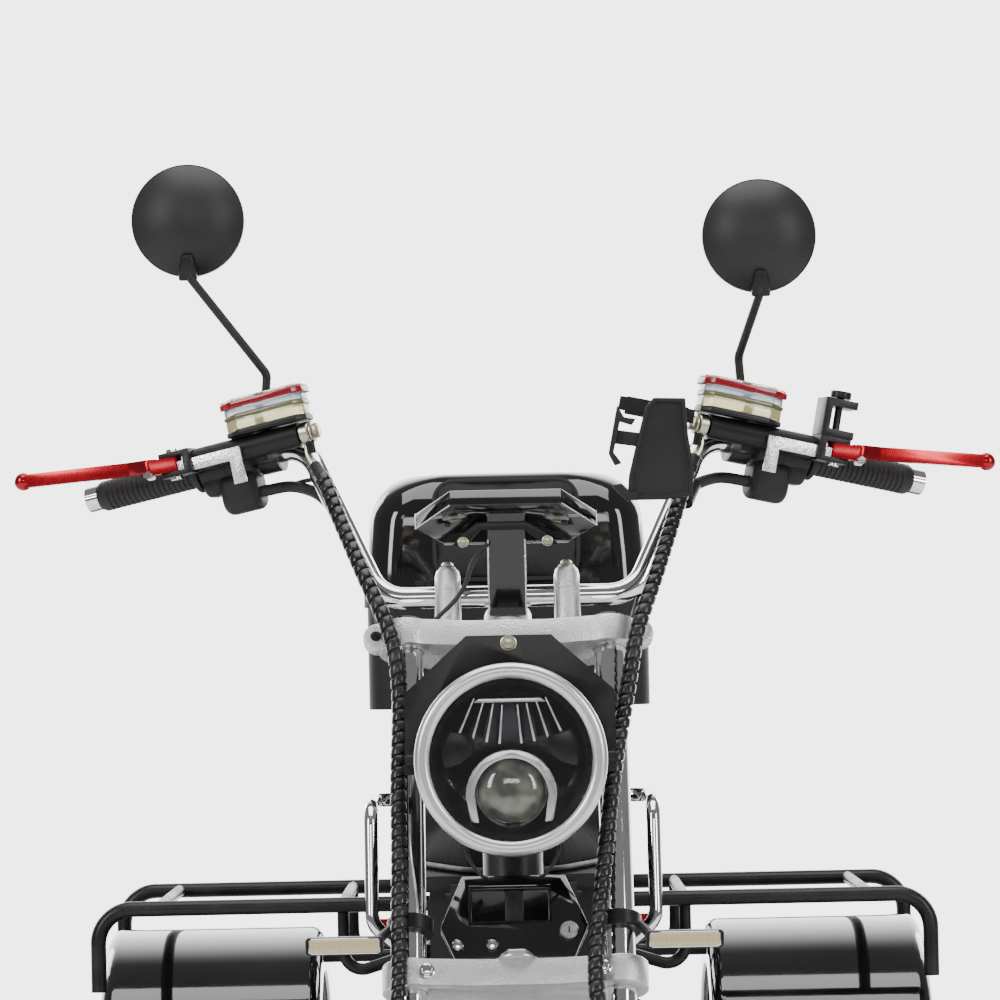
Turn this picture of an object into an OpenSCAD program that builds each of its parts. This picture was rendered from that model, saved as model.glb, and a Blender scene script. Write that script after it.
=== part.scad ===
// Electric tricycle with a raked fork, two wide rear wheels, a hinged saddle and a hinged top case.
// The front faces -Y and up is +Z. The origin is on the floor under the middle of the whole machine.
// Lengths are in millimetres and angles in degrees.

/* [Stance] */
// Distance from the front axle to the rear axle
wheelbase = 1300; // [1260:10:1360]
// Distance between the middles of the two rear tyres
rear_track = 716; // [704:2:730]
// How far the steering axis leans back from upright
rake = 26; // [25:0.5:27]
// How far the fork legs stand in front of the steering axis
fork_offset = 47; // [45:1:49]

/* [Front wheel] */
// Outer diameter of the front tyre
front_tyre_d = 473; // [461:1:479]
// Width of the front tyre
front_tyre_w = 120; // [112:1:124]
// Diameter of the front rim at the tyre's bead
front_rim_d = 305; // [295:1:315]
// Width of the front rim
front_rim_w = 84; // [76:1:88]
// Diameter of the front brake discs
front_disc_d = 184; // [170:1:190]
// Diameter of the front axle
front_axle_d = 15; // [12:1:18]

/* [Rear wheels] */
// Outer diameter of a rear tyre
rear_tyre_d = 451; // [441:1:457]
// Width of a rear tyre
rear_tyre_w = 225; // [215:1:229]
// Diameter of a rear rim at the tyre's bead
rear_rim_d = 215; // [205:1:235]
// Width of a rear rim
rear_rim_w = 190; // [180:1:200]
// Diameter of a rear brake disc
rear_disc_d = 150; // [140:1:156]
// Diameter of the rear half shafts
rear_axle_d = 30; // [24:1:34]

/* [Fork] */
// Distance between the two fork legs
leg_spacing = 205; // [202:1:210]
// Diameter of the chrome upper legs
stanchion_d = 32; // [30:1:34]
// Diameter of the lower legs
slider_d = 46; // [42:1:48]
// Length of the lower legs above the front axle
slider_len = 275; // [260:5:290]
// Distance up the fork from the axle to the lower clamp
lower_clamp_up = 407; // [400:1:414]
// Distance up the fork from the axle to the upper clamp
upper_clamp_up = 776; // [766:1:786]
// Thickness of both fork clamps
clamp_t = 28; // [24:1:32]
// Diameter of the steering stem
stem_d = 34; // [30:1:36]
// Outside diameter of the head tube
head_tube_d = 60; // [56:1:62]

/* [Handlebar] */
// Diameter of the handlebar tube
bar_d = 22; // [21:0.5:24]
// Distance up the fork from the axle to the middle of the handlebar
bar_up = 843; // [836:1:850]
// How far the handlebar's middle stands in front of the steering axis
bar_lead = 11; // [8:1:14]
// Distance between the two risers
riser_spacing = 122; // [114:1:128]
// Half of the straight length in the middle of the handlebar
bar_mid = 130; // [126:1:134]
// Half of the distance between the tops of the uprights
bar_top_x = 207; // [202:1:212]
// Height of the uprights
bar_rise = 162; // [150:1:174]
// How far the uprights lean back
bar_pull = 78; // [70:1:86]
// How far each end reaches outward past its upright
bar_end_x = 233; // [228:1:238]
// How far each end is swept back past its upright
bar_sweep = 82; // [74:1:90]
// How far each end droops below the top of its upright
bar_droop = 50; // [42:1:58]
// Bend radius of the handlebar
bar_bend = 38; // [34:1:42]
// Length of a grip
grip_len = 118; // [110:1:122]
// Diameter of a grip
grip_d = 32; // [30:1:34]

/* [Mirrors] */
// Diameter of a mirror
mirror_d = 118; // [110:1:124]
// Radius of the domed back of a mirror
mirror_dome_r = 76; // [72:1:84]
// Diameter of a mirror stem
mirror_stem_d = 9; // [8:0.5:10]

/* [Headlight] */
// Diameter of the headlight ring
lamp_d = 190; // [184:1:194]
// Height of the middle of the headlight
lamp_z = 817; // [807:1:827]
// How far the headlight's rim stands behind the front axle
lamp_back = 172; // [164:1:180]
// Wall of the headlight shell
lamp_wall = 3; // [2:0.5:4]
// Number of bright vanes over the projector
vane_count = 8; // [6:1:10]

/* [Display] */
// Width of the display housing
display_w = 186; // [176:1:194]
// Length of the display housing
display_l = 78; // [70:1:84]
// Thickness of the display housing
display_t = 18; // [15:1:20]
// Height of the middle of the display
display_z = 1060; // [1052:1:1066]

/* [Saddle] */
// Width of the saddle at its widest
saddle_w = 280; // [264:2:288]
// Length of the saddle
saddle_len = 550; // [535:5:565]
// Height of the top of the saddle
saddle_top = 755; // [745:1:765]
// Thickness of the saddle's padding
saddle_t = 80; // [72:1:88]
// Width of the battery case under the saddle
seat_box_w = 190; // [180:2:194]
// Wall of the battery case
seat_box_wall = 3; // [2:0.5:4]

/* [Top case] */
// Width of the top case at its parting line
case_w = 350; // [336:2:360]
// Length of the top case
case_len = 318; // [306:2:326]
// Height of the parting line of the top case
case_split_z = 989; // [981:1:997]
// Height of the lid of the top case
lid_h = 146; // [138:1:152]
// Height of the base of the top case
case_base_h = 140; // [132:1:148]
// Wall of the top case
case_wall = 4; // [3:0.5:5]
// Width of the backrest pad
backrest_w = 180; // [170:2:190]

/* [Rear rack] */
// Overall width of the rear rack
rack_w = 990; // [984:2:1000]
// Diameter of the rack's tubes
rack_tube_d = 18; // [16:1:20]
// Height of the middle of the rack's tubes
rack_z = 626; // [620:1:634]
// Radius of a rear fender
fender_r = 270; // [264:1:276]
// Width of a rear fender
fender_w = 258; // [250:1:262]
// Height of the middle of a rear fender's arc
fender_z = 320; // [314:1:326]
// Thickness of the fender shells
fender_t = 3; // [2:0.5:4]

/* [Frame] */
// Diameter of the backbone tube
backbone_d = 60; // [54:1:64]
// Diameter of the side rails
rail_d = 32; // [28:1:34]
// Distance between the two rear rails
rail_spacing = 236; // [234:1:240]
// Width of the footboard
deck_w = 400; // [380:2:420]
// Height of the top of the footboard
deck_z = 268; // [262:1:274]
// Length of the footboard
deck_len = 400; // [380:5:420]
// Width of the bracket for a number plate
plate_w = 180; // [170:2:190]
// Distance between the two holes of that bracket
plate_hole_spacing = 140; // [130:2:150]
// Diameter of those holes
plate_hole_d = 7; // [6:0.5:8]

/* [Hidden] */
$fn = 64;

// Gap between pieces that seat on each other, and least gap between pieces that move past each other
seat_gap = 0.3;
run_gap = 5;

// How far a tube's straight stretch runs into its bend, and how much thicker the bend is all round
bend_lap = 1;
bend_swell = 0.15;

// The machine's length runs from the front tyre to the back of the top case
case_reach = case_len + 12;
total_len = front_tyre_d / 2 + wheelbase + case_reach;
front_y = front_tyre_d / 2 - total_len / 2;
rear_y = front_y + wheelbase;
axle_z = front_tyre_d / 2;
rear_z = rear_tyre_d / 2;

function unit(v) = v / norm(v);

// Point at x, at u behind the fork legs' plane and at l up the fork from the front axle
function fork_pt(x, u, l) = [
    x,
    front_y + l * sin(rake) + u * cos(rake),
    axle_z + l * cos(rake) - u * sin(rake)
];

bar_mid_pt = fork_pt(0, fork_offset - bar_lead, bar_up);
bar_knee_pt = bar_mid_pt + [bar_mid, 0, 0];
bar_top_pt = bar_mid_pt + [bar_top_x, bar_pull, bar_rise];
bar_end_pt = bar_top_pt + [bar_end_x, bar_sweep, -bar_droop];
grip_line = norm(bar_end_pt - bar_top_pt);
end_weight_len = 14;
grip_start = grip_line - end_weight_len - grip_len;

// Round bar from p to q
module rod(p, q, d) {
    v = q - p;
    translate(p)
        rotate([0, acos(v[2] / norm(v)), atan2(v[1], v[0])])
            cylinder(h = norm(v), d = d);
}

// Bent tube along pts, with straight stretches and true bends of radius r.
// A bend is a hair thicker than the stretches, which run a little way into it.
module pipe(pts, d, r) {
    n = len(pts);
    u = [for (i = [0:n - 2]) unit(pts[i + 1] - pts[i])];
    turn = [for (i = [1:n - 2]) acos(u[i - 1] * u[i])];
    cut = concat([0], [for (a = turn) r * tan(a / 2) - bend_lap], [0]);
    for (i = [0:n - 2])
        rod(pts[i] + u[i] * cut[i], pts[i + 1] - u[i] * cut[i + 1], d);
    for (i = [1:n - 2]) {
        start = pts[i] - u[i - 1] * (cut[i] + bend_lap);
        inward = unit(u[i] - u[i - 1] * (u[i] * u[i - 1]));
        c = start + inward * r;
        ax = -inward;
        ay = u[i - 1];
        az = cross(ax, ay);
        multmatrix([
            [ax[0], ay[0], az[0], c[0]],
            [ax[1], ay[1], az[1], c[1]],
            [ax[2], ay[2], az[2], c[2]],
            [0, 0, 0, 1]
        ])
            rotate_extrude(angle = turn[i - 1])
                translate([r, 0])
                    circle(d = d + 2 * bend_swell, $fn = 32);
    }
}

// Rectangle with round corners, its middle at the origin
module round_rect(w, h, r) {
    square([w - 2 * r, h], center = true);
    square([w, h - 2 * r], center = true);
    for (sx = [-1, 1], sy = [-1, 1])
        translate([sx * (w / 2 - r), sy * (h / 2 - r)])
            circle(r = r, $fn = 32);
}

// Flat link between two points with round ends
module link2d(p, q, w) {
    v = q - p;
    translate(p)
        rotate(atan2(v[1], v[0])) {
            translate([0, -w / 2])
                square([norm(v), w]);
            circle(d = w, $fn = 32);
            translate([norm(v), 0])
                circle(d = w, $fn = 32);
        }
}

// The same piece on both sides
module both_sides() {
    children();
    mirror([1, 0, 0])
        children();
}

// Fork frame: z runs up the fork from the front axle and y runs back from the legs
module fork_frame() {
    translate([0, front_y, axle_z])
        rotate([-rake, 0, 0])
            children();
}

// Grip frame: x runs out along the grip from the top of the upright, y runs back and z runs up
module grip_frame() {
    gx = unit(bar_end_pt - bar_top_pt);
    gz = unit([0, 0, 1] - gx * gx[2]);
    gy = cross(gz, gx);
    o = bar_top_pt;
    multmatrix([
        [gx[0], gy[0], gz[0], o[0]],
        [gx[1], gy[1], gz[1], o[1]],
        [gx[2], gy[2], gz[2], o[2]],
        [0, 0, 0, 1]
    ])
        children();
}

// Wheel frame: z runs along the axle from the wheel's middle to the left of the machine
module wheel_frame(x, y, z) {
    translate([x, y, z])
        rotate([0, 90, 0])
            children();
}

// Section of a tyre, radius along x, with a round crown, round shoulders and narrow beads
module tyre_section(od, w, rim_d, rim_w, shoulder, crown) {
    bead = 26;
    intersection() {
        union() {
            translate([(rim_d / 2 + bead / 2 + od / 2) / 2, 0])
                round_rect((od - rim_d) / 2 - bead / 2, w, shoulder);
            polygon([
                [rim_d / 2 + seat_gap, -rim_w / 2 + 8],
                [rim_d / 2 + bead / 2, -rim_w / 2 + 8],
                [rim_d / 2 + bead + shoulder, -w / 2 + 2],
                [rim_d / 2 + bead + shoulder, w / 2 - 2],
                [rim_d / 2 + bead / 2, rim_w / 2 - 8],
                [rim_d / 2 + seat_gap, rim_w / 2 - 8]
            ]);
        }
        translate([od / 2 - crown, 0])
            circle(r = crown, $fn = 200);
    }
}

// Section of a rim, radius along x: a dropped barrel with a lip at each side
module rim_section(rim_d, rim_w) {
    lip = 9;
    wall = 5;
    drop = 14;
    seat = rim_d / 2;
    edge = rim_w / 2;
    polygon([
        [seat + lip, -edge],
        [seat + lip, -edge + wall],
        [seat, -edge + wall],
        [seat, -rim_w * 0.3],
        [seat - drop, -rim_w * 0.2],
        [seat - drop, rim_w * 0.2],
        [seat, rim_w * 0.3],
        [seat, edge - wall],
        [seat + lip, edge - wall],
        [seat + lip, edge],
        [seat - wall, edge],
        [seat - wall, rim_w * 0.29],
        [seat - drop - wall, rim_w * 0.19],
        [seat - drop - wall, -rim_w * 0.19],
        [seat - wall, -rim_w * 0.29],
        [seat - wall, -edge]
    ]);
}

// Brake disc with a ring of round holes, on a star carrier
module brake_disc(d, hub_d, t) {
    arms = 5;
    difference() {
        cylinder(h = t, d = d, center = true);
        cylinder(h = t + 2, d = d * 0.68, center = true);
        for (a = [0:360 / 15:359])
            rotate(a)
                translate([d * 0.42, 0, 0])
                    cylinder(h = t + 2, d = 7, center = true, $fn = 24);
    }
    for (a = [0:360 / arms:359])
        rotate(a)
            translate([hub_d / 2 - 8, -6, -t / 2])
                cube([d * 0.36 + 2 - hub_d / 2 + 8, 12, t]);
}

front_hub_d = 58;
front_hub_w = 96;
front_disc_x = 62;
disc_t = 4;

module front_tyre() {
    color("#1b1b1c")
        wheel_frame(0, front_y, axle_z)
            rotate_extrude($fn = 128)
                tyre_section(front_tyre_d, front_tyre_w, front_rim_d, front_rim_w, 26, 95);
}

module front_rim() {
    spokes = 10;
    color("#8d8f92")
        wheel_frame(0, front_y, axle_z)
            difference() {
                union() {
                    rotate_extrude($fn = 96)
                        rim_section(front_rim_d, front_rim_w);
                    cylinder(h = front_hub_w, d = front_hub_d, center = true);
                    for (k = [0:spokes - 1])
                        rotate(k * 360 / spokes)
                            translate([front_hub_d / 2 - 3, -6, -10])
                                cube([front_rim_d / 2 - 14 - front_hub_d / 2, 12, 20]);
                    for (s = [-1, 1])
                        translate([0, 0, s * front_disc_x]) {
                            brake_disc(front_disc_d, front_hub_d, disc_t);
                            translate([0, 0, -s * (front_disc_x - front_hub_w / 2) / 2])
                                cylinder(h = front_disc_x - front_hub_w / 2 + 2 * disc_t,
                                         d = front_hub_d - 6, center = true);
                        }
                }
                cylinder(h = 2 * front_disc_x + 20, d = front_axle_d + 2 * seat_gap, center = true);
            }
}

rear_hub_d = 84;
rear_hub_in = 96;

module rear_tyre() {
    wheel_frame(rear_track / 2, rear_y, rear_z)
        rotate_extrude($fn = 128)
            tyre_section(rear_tyre_d, rear_tyre_w, rear_rim_d, rear_rim_w, 34, 420);
}

module rear_rim() {
    spokes = 5;
    hub_out = 60;
    wheel_frame(rear_track / 2, rear_y, rear_z)
        difference() {
            union() {
                rotate_extrude($fn = 96)
                    rim_section(rear_rim_d, rear_rim_w);
                translate([0, 0, -rear_hub_in])
                    cylinder(h = rear_hub_in + hub_out, d = rear_hub_d);
                for (k = [0:spokes - 1])
                    rotate(k * 360 / spokes)
                        translate([rear_hub_d / 2 - 4, -11, 12])
                            cube([rear_rim_d / 2 - 16 - rear_hub_d / 2 + 2, 22, 16]);
                translate([0, 0, 4])
                    cylinder(h = 8, d = rear_rim_d - 32);
                translate([0, 0, -rear_hub_in + disc_t / 2])
                    brake_disc(rear_disc_d, rear_hub_d, disc_t);
            }
            translate([0, 0, -rear_hub_in - 1])
                cylinder(h = rear_hub_in + hub_out - 9, d = rear_axle_d + 2 * seat_gap);
            for (k = [0:spokes - 1])
                rotate((k + 0.5) * 360 / spokes)
                    translate([rear_hub_d / 2 + 22, 0, -2])
                        cylinder(h = 20, d = 24, $fn = 32);
        }
}

module rear_tyre_left() {
    color("#1b1b1c")
        rear_tyre();
}

module rear_tyre_right() {
    color("#1b1b1c")
        mirror([1, 0, 0])
            rear_tyre();
}

module rear_rim_left() {
    color("#77797c")
        rear_rim();
}

module rear_rim_right() {
    color("#77797c")
        mirror([1, 0, 0])
            rear_rim();
}

head_low = lower_clamp_up + clamp_t / 2 + seat_gap;
head_high = upper_clamp_up - clamp_t / 2 - seat_gap;
rail_x = rail_spacing / 2;
rail_low_z = deck_z - rail_d / 2 - 6;
deck_front_y = front_y + 470;
deck_rear_y = deck_front_y + deck_len;
rear_rail_z = 566;
rail_end_y = rear_y + 235;
stay_y = 72;
backbone_z = rail_low_z + rail_d / 2 - backbone_d / 2;
swing_pivot = [0, deck_rear_y - 10, rail_low_z - 26];
swing_d = 34;

module frame() {
    backbone = [
        fork_pt(0, fork_offset, lower_clamp_up + 200),
        [0, front_y + 440, 430],
        [0, deck_front_y + 90, backbone_z],
        [0, deck_rear_y - 50, backbone_z]
    ];
    brace = [
        fork_pt(0, fork_offset, lower_clamp_up + 90),
        [0, front_y + 405, 490]
    ];
    rail_loop = [
        [-rail_x, rail_end_y, rear_rail_z],
        [-rail_x, deck_rear_y + 110, rear_rail_z],
        [-rail_x, deck_rear_y + 40, rail_low_z],
        [-rail_x, deck_front_y + 20, rail_low_z],
        [rail_x, deck_front_y + 20, rail_low_z],
        [rail_x, deck_rear_y + 40, rail_low_z],
        [rail_x, deck_rear_y + 110, rear_rail_z],
        [rail_x, rail_end_y, rear_rail_z]
    ];
    cross_ties = [
        // place along the machine, height, diameter
        [deck_rear_y - 60, rail_low_z, rail_d - 4],
        [box_front_y + 2, box_z0 - seat_gap - (rail_d - 12) / 2, rail_d - 12],
        [box_rear_y + 26, rear_rail_z, rail_d - 8],
        [rail_end_y - 20, rear_rail_z, rail_d - 4]
    ];
    color("#161617") {
        difference() {
            union() {
                fork_frame()
                    translate([0, fork_offset, head_low])
                        cylinder(h = head_high - head_low, d = head_tube_d);
                pipe(backbone, backbone_d, 90);
                rod(brace[0], brace[1], 36);
            }
            fork_frame()
                translate([0, fork_offset, head_low - 50])
                    cylinder(h = head_high - head_low + 100, d = stem_d + 2 * seat_gap);
        }
        pipe(rail_loop, rail_d, 60);
        difference() {
            translate([-plate_w / 2, rail_end_y - 8, rear_rail_z - 76])
                cube([plate_w, 4, 80]);
            for (s = [-1, 1])
                translate([s * plate_hole_spacing / 2, rail_end_y - 20, rear_rail_z - 50])
                    rotate([-90, 0, 0])
                        cylinder(h = 40, d = plate_hole_d);
        }
        for (t = cross_ties)
            rod([-rail_x, t[0], t[1]], [rail_x, t[0], t[1]], t[2]);
        both_sides() {
            for (dy = [-stay_y, stay_y])
                rod([rail_x, rear_y + dy, rear_rail_z - 8],
                    [rear_track / 2 - fender_w / 2 - seat_gap, rear_y + dy, rear_rail_z - 8], 14);
            translate([rail_x - 9, swing_pivot[1] - 20, swing_pivot[2] - 20])
                cube([18, 40, 40]);
        }
    }
}

neck_w = leg_spacing - 59;
nut_h = 8;
neck_low = lower_clamp_up + clamp_t / 2 + nut_h + run_gap;
neck_high = neck_low + 88;

// Dark cover in front of the head tube, with a recessed slot, the key lock and two screws
module neck_cover() {
    face_y = 12;
    back_y = fork_offset - head_tube_d / 2 - seat_gap;
    color("#0d0d0e")
        fork_frame() {
            difference() {
                translate([0, back_y + 14, 0])
                    rotate([90, 0, 0])
                        linear_extrude(back_y + 14 - face_y)
                            polygon([
                                [-neck_w / 2, neck_low + 34],
                                [-neck_w / 2 + 14, neck_low],
                                [neck_w / 2 - 14, neck_low],
                                [neck_w / 2, neck_low + 34],
                                [neck_w / 2 - 22, neck_high],
                                [-neck_w / 2 + 22, neck_high]
                            ]);
                translate([0, fork_offset, neck_low - 10])
                    cylinder(h = 200, d = head_tube_d + 2 * seat_gap);
                translate([-42, face_y - 1, neck_low + 40])
                    cube([76, 7, 34]);
                translate([54, face_y - 2, neck_low + 28])
                    rotate([-90, 0, 0])
                        cylinder(h = 8, d = 18);
            }
        }
    color("#b9bbbd")
        fork_frame() {
            translate([54, face_y - 2, neck_low + 28])
                rotate([-90, 0, 0])
                    cylinder(h = 8 - seat_gap, d = 18 - 2 * seat_gap);
        }
}

// Footboard with turned-up edges and tread ribs, notched round the backbone
module footboard() {
    lip = 14;
    t = 5;
    ribs = 9;
    notch_l = 165;
    rail_notch_x = rail_x - rail_d / 2 - 2;
    y0 = deck_front_y - 10;
    y1 = deck_rear_y + 16;
    z0 = rail_low_z + rail_d / 2 + seat_gap;
    color("#202122")
        difference() {
            union() {
                translate([-deck_w / 2, y0, z0])
                    cube([deck_w, y1 - y0, t]);
                for (s = [-1, 1])
                    translate([s * (deck_w / 2 - t / 2) - t / 2, y0, z0])
                        cube([t, y1 - y0, lip]);
                translate([-deck_w / 2, y0, z0])
                    cube([deck_w, t, lip]);
                for (k = [0:ribs - 1])
                    translate([-deck_w / 2 + 30, y0 + 34 + k * (y1 - y0 - 68) / (ribs - 1) - 7, z0 + t - 1])
                        cube([deck_w - 60, 14, 4]);
            }
            translate([-backbone_d / 2 - run_gap, y0 - 1, z0 - 1])
                cube([backbone_d + 2 * run_gap, notch_l, lip + 2]);
            both_sides()
                translate([rail_notch_x, deck_rear_y - 12, z0 - 1])
                    cube([deck_w / 2, 40, lip + 2]);
        }
}

box_front_y = deck_rear_y + 24;
rack_front_y = rear_y - 196;
rack_rear_y = rear_y + 196;
box_rear_y = rack_front_y - rack_tube_d / 2 - 8;
box_z0 = rail_low_z + rail_d / 2 + seat_gap;
pan_z = saddle_top - saddle_t;
box_z1 = pan_z - 14 - seat_gap;
hinge_y = front_y + 742;
hinge_z = pan_z - 22;

hinge_pin_d = 8;
tongue_w = 96;

// Open battery case: four walls and a floor, a flange round the mouth that the saddle rests on,
// and a tongue in front that carries the saddle's hinge pin
module battery_case() {
    w = seat_box_wall;
    len_y = box_rear_y - box_front_y;
    color("#19191a")
        difference() {
            union() {
                translate([-seat_box_w / 2, box_front_y, box_z0])
                    cube([seat_box_w, len_y, box_z1 - box_z0]);
                translate([-seat_box_w / 2 - 18, box_front_y - 16, box_z1 - 8])
                    cube([seat_box_w + 36, len_y + 32, 8]);
                translate([-tongue_w / 2, hinge_y - 8, hinge_z - 9])
                    cube([tongue_w, box_front_y - hinge_y + 12, 14]);
                for (s = [-1, 1], z = [box_z0 + 60:70:box_z1 - 40])
                    translate([s * (seat_box_w / 2 + 1) - 2, box_front_y + 16, z])
                        cube([4, len_y - 32, 34]);
                for (s = [-1, 1])
                    translate([s * (tongue_w / 2 - 12) - 4, hinge_y + 30, hinge_z - 60])
                        cube([8, box_front_y - hinge_y - 26, 54]);
                translate([-tongue_w / 2 - 26, hinge_y, hinge_z])
                    rotate([0, 90, 0])
                        cylinder(h = tongue_w + 52, d = hinge_pin_d);
            }
            translate([-seat_box_w / 2 + w, box_front_y + w, box_z0 + w])
                cube([seat_box_w - 2 * w, len_y - 2 * w, box_z1 - box_z0 + 10]);
        }
}

battery_l = 160;
battery_h = 230;

module battery() {
    w = seat_box_wall + seat_gap;
    color("#2c5a8c")
        translate([-seat_box_w / 2 + w + 8, box_front_y + w + 8, box_z0 + w])
            cube([seat_box_w - 2 * w - 16, battery_l, battery_h]);
}

axle_tube_d = 52;
axle_clamp_x = 150;
axle_clamp = 76;

// Swing arms from the frame to the clamps that hold the rear axle tube
module swing_arm() {
    arm_x = 88;
    bridge_d = 24;
    color("#1d1d1e") {
        both_sides()
            difference() {
                union() {
                    pipe([
                        [arm_x, swing_pivot[1], swing_pivot[2]],
                        [arm_x, rear_y - 250, swing_pivot[2]],
                        [axle_clamp_x, rear_y - 150, rear_z],
                        [axle_clamp_x, rear_y - axle_tube_d / 2 - 4, rear_z]
                    ], swing_d, 50);
                    translate([axle_clamp_x - 18, rear_y - axle_clamp / 2, rear_z - axle_clamp / 2])
                        cube([36, axle_clamp, axle_clamp]);
                }
                translate([axle_clamp_x - 40, rear_y, rear_z])
                    rotate([0, 90, 0])
                        cylinder(h = 80, d = axle_tube_d + 2 * seat_gap);
            }
        rod([-rail_x + 9 + seat_gap, swing_pivot[1], swing_pivot[2]],
            [rail_x - 9 - seat_gap, swing_pivot[1], swing_pivot[2]], bridge_d);
    }
}

motor_d = 190;
motor_w = 196;

// Rear axle with the electric motor and its gear in the middle and a calliper at each disc
module drive_axle() {
    shaft_end = rear_track / 2 + 48;
    disc_x = rear_track / 2 - rear_hub_in + disc_t / 2;
    fins = 12;
    color("#8e9093") {
        wheel_frame(0, rear_y, rear_z) {
            cylinder(h = motor_w - 40, d = motor_d, center = true, $fn = 96);
            cylinder(h = motor_w, d = motor_d - 40, center = true, $fn = 96);
            for (k = [0:fins - 1])
                rotate(k * 360 / fins)
                    translate([motor_d / 2 - 3, -4, -60])
                        cube([9, 8, 120]);
            cylinder(h = 2 * (rear_track / 2 - rear_hub_in - run_gap), d = axle_tube_d, center = true);
            cylinder(h = 2 * shaft_end, d = rear_axle_d, center = true);
        }
        both_sides()
            difference() {
                union() {
                    translate([disc_x - 26, rear_y - 92, rear_z - 22])
                        cube([44, 40, 44]);
                    translate([disc_x - 26, rear_y - 60, rear_z - 12])
                        cube([14, 44, 24]);
                }
                translate([disc_x - disc_t / 2 - run_gap, rear_y - 84, rear_z - 30])
                    cube([disc_t + 2 * run_gap, 60, 60]);
            }
    }
}

// Coil spring as a swept wire
module spring(d, wire, h, turns) {
    steps = 12;
    n = turns * steps;
    sides = 8;
    pts = [
        for (i = [0:n])
            let (a = i * 360 / steps, z = h * i / n)
            for (k = [0:sides - 1])
                let (b = k * 360 / sides, r = d / 2 + wire / 2 * cos(b))
                [r * cos(a), r * sin(a), z + wire / 2 * sin(b)]
    ];
    body = [
        for (i = [0:n - 1])
            for (k = [0:sides - 1])
                let (p = i * sides + k, q = i * sides + (k + 1) % sides)
                each [[p, q, q + sides], [p, q + sides, p + sides]]
    ];
    caps = [
        [for (k = [sides - 1:-1:0]) k],
        [for (k = [0:sides - 1]) n * sides + k]
    ];
    polyhedron(points = pts, faces = concat(body, caps), convexity = 8);
}

// Two coil shocks between the axle and the rear rails
module rear_shocks() {
    low = [axle_clamp_x, rear_y, rear_z + axle_clamp / 2 + seat_gap + 1.4];
    high = [rail_x + 4, rear_y - 40, rear_rail_z - rail_d / 2 - seat_gap - 2];
    v = high - low;
    l = norm(v);
    color("#a51d1d")
        both_sides()
            translate(low)
                rotate([0, acos(v[2] / l), atan2(v[1], v[0])]) {
                    cylinder(h = l, d = 16);
                    translate([0, 0, 18])
                        cylinder(h = 70, d = 34);
                    translate([0, 0, 88])
                        cylinder(h = 6, d = 58);
                    translate([0, 0, l - 24])
                        cylinder(h = 8, d = 58);
                    translate([0, 0, 90])
                        spring(46, 8, l - 110, 7);
                }
}

// One rear fender: an arched shell with a rolled edge and a skirt on both sides
module fender_arch(r, w, skirt, t, from, to) {
    sweep = to - from;
    rotate([0, 0, from])
        rotate_extrude(angle = sweep, $fn = 128)
            difference() {
                translate([r - skirt / 2, 0])
                    round_rect(skirt, w, 16);
                translate([r - t - skirt / 2 - 10, 0])
                    round_rect(skirt + 20, w - 2 * t, 14);
                translate([r - skirt - 40, -w])
                    square([42, 2 * w]);
            }
}

module rear_fenders() {
    color("#0c0c0d")
        both_sides()
            translate([rear_track / 2, rear_y, fender_z])
                rotate([90, 0, 90])
                    fender_arch(fender_r, fender_w, 62, fender_t, 4, 176);
}

rack_bend = 40;
rack_leg_x = 200;

// Tubular rack over both fenders, on legs that stand on the rear rails
module rear_rack() {
    half = rack_w / 2 - rack_tube_d / 2;
    drop = 96;
    color("#121213") {
        for (y = [rack_front_y, rack_rear_y])
            pipe([
                [-half, y, rack_z - drop],
                [-half, y, rack_z],
                [half, y, rack_z],
                [half, y, rack_z - drop]
            ], rack_tube_d, rack_bend);
        for (x = [-half + 70, -rack_leg_x, rack_leg_x, half - 70])
            rod([x, rack_front_y, rack_z], [x, rack_rear_y, rack_z], rack_tube_d - 4);
        for (s = [-1, 1], y = [rack_front_y + 14, rack_rear_y - 14])
            pipe([
                [s * rack_leg_x, y, rack_z],
                [s * rack_leg_x, y, rear_rail_z - 24],
                [s * (rail_x + rail_d / 2 + seat_gap), y, rear_rail_z - 4]
            ], rack_tube_d - 4, 22);
    }
}

grab_d = 16;
saddle_rear_y = hinge_y + saddle_len - 16;

// Chrome rails beside the saddle, joined behind it
module grab_rails() {
    x = 164;
    slope = 41;
    foot = rail_d / 2 + seat_gap;
    foot_x = rail_x + foot * cos(slope);
    foot_z = rear_rail_z + foot * sin(slope);
    knee_z = rear_rail_z + (x - rail_x) * tan(slope);
    z_top = saddle_top - 14;
    y0 = rear_y - 260;
    y1 = saddle_rear_y + run_gap + grab_d / 2 + 1;
    color("#c9cbcd") {
        pipe([
            [-foot_x, y0, foot_z],
            [-x, y0, knee_z],
            [-x, y0 + 24, z_top],
            [-x, y1, z_top],
            [x, y1, z_top],
            [x, y0 + 24, z_top],
            [x, y0, knee_z],
            [foot_x, y0, foot_z]
        ], grab_d, 26);
    }
}

carrier_z = case_split_z - case_base_h - 8 - seat_gap;
case_y0 = rear_y + 12;
case_y1 = case_y0 + case_len;

// Tubular stand that carries the top case
module case_carrier() {
    x = rail_x;
    foot_z = rear_rail_z + rail_d / 2 + seat_gap;
    color("#141415") {
        both_sides()
            pipe([
                [x, rear_y + 28, foot_z],
                [x, rear_y + 32, carrier_z - 13],
                [x, case_y1 - 60, carrier_z - 13],
                [x, rear_y + 140, foot_z + 34],
                [x, rear_y + 140, foot_z]
            ], 20, 30);
        translate([-130, case_y0 + 30, carrier_z - 6])
            cube([260, case_len - 80, 6]);
        rod([-x, case_y0 + 100, carrier_z - 13], [x, case_y0 + 100, carrier_z - 13], 16);
    }
}

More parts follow.
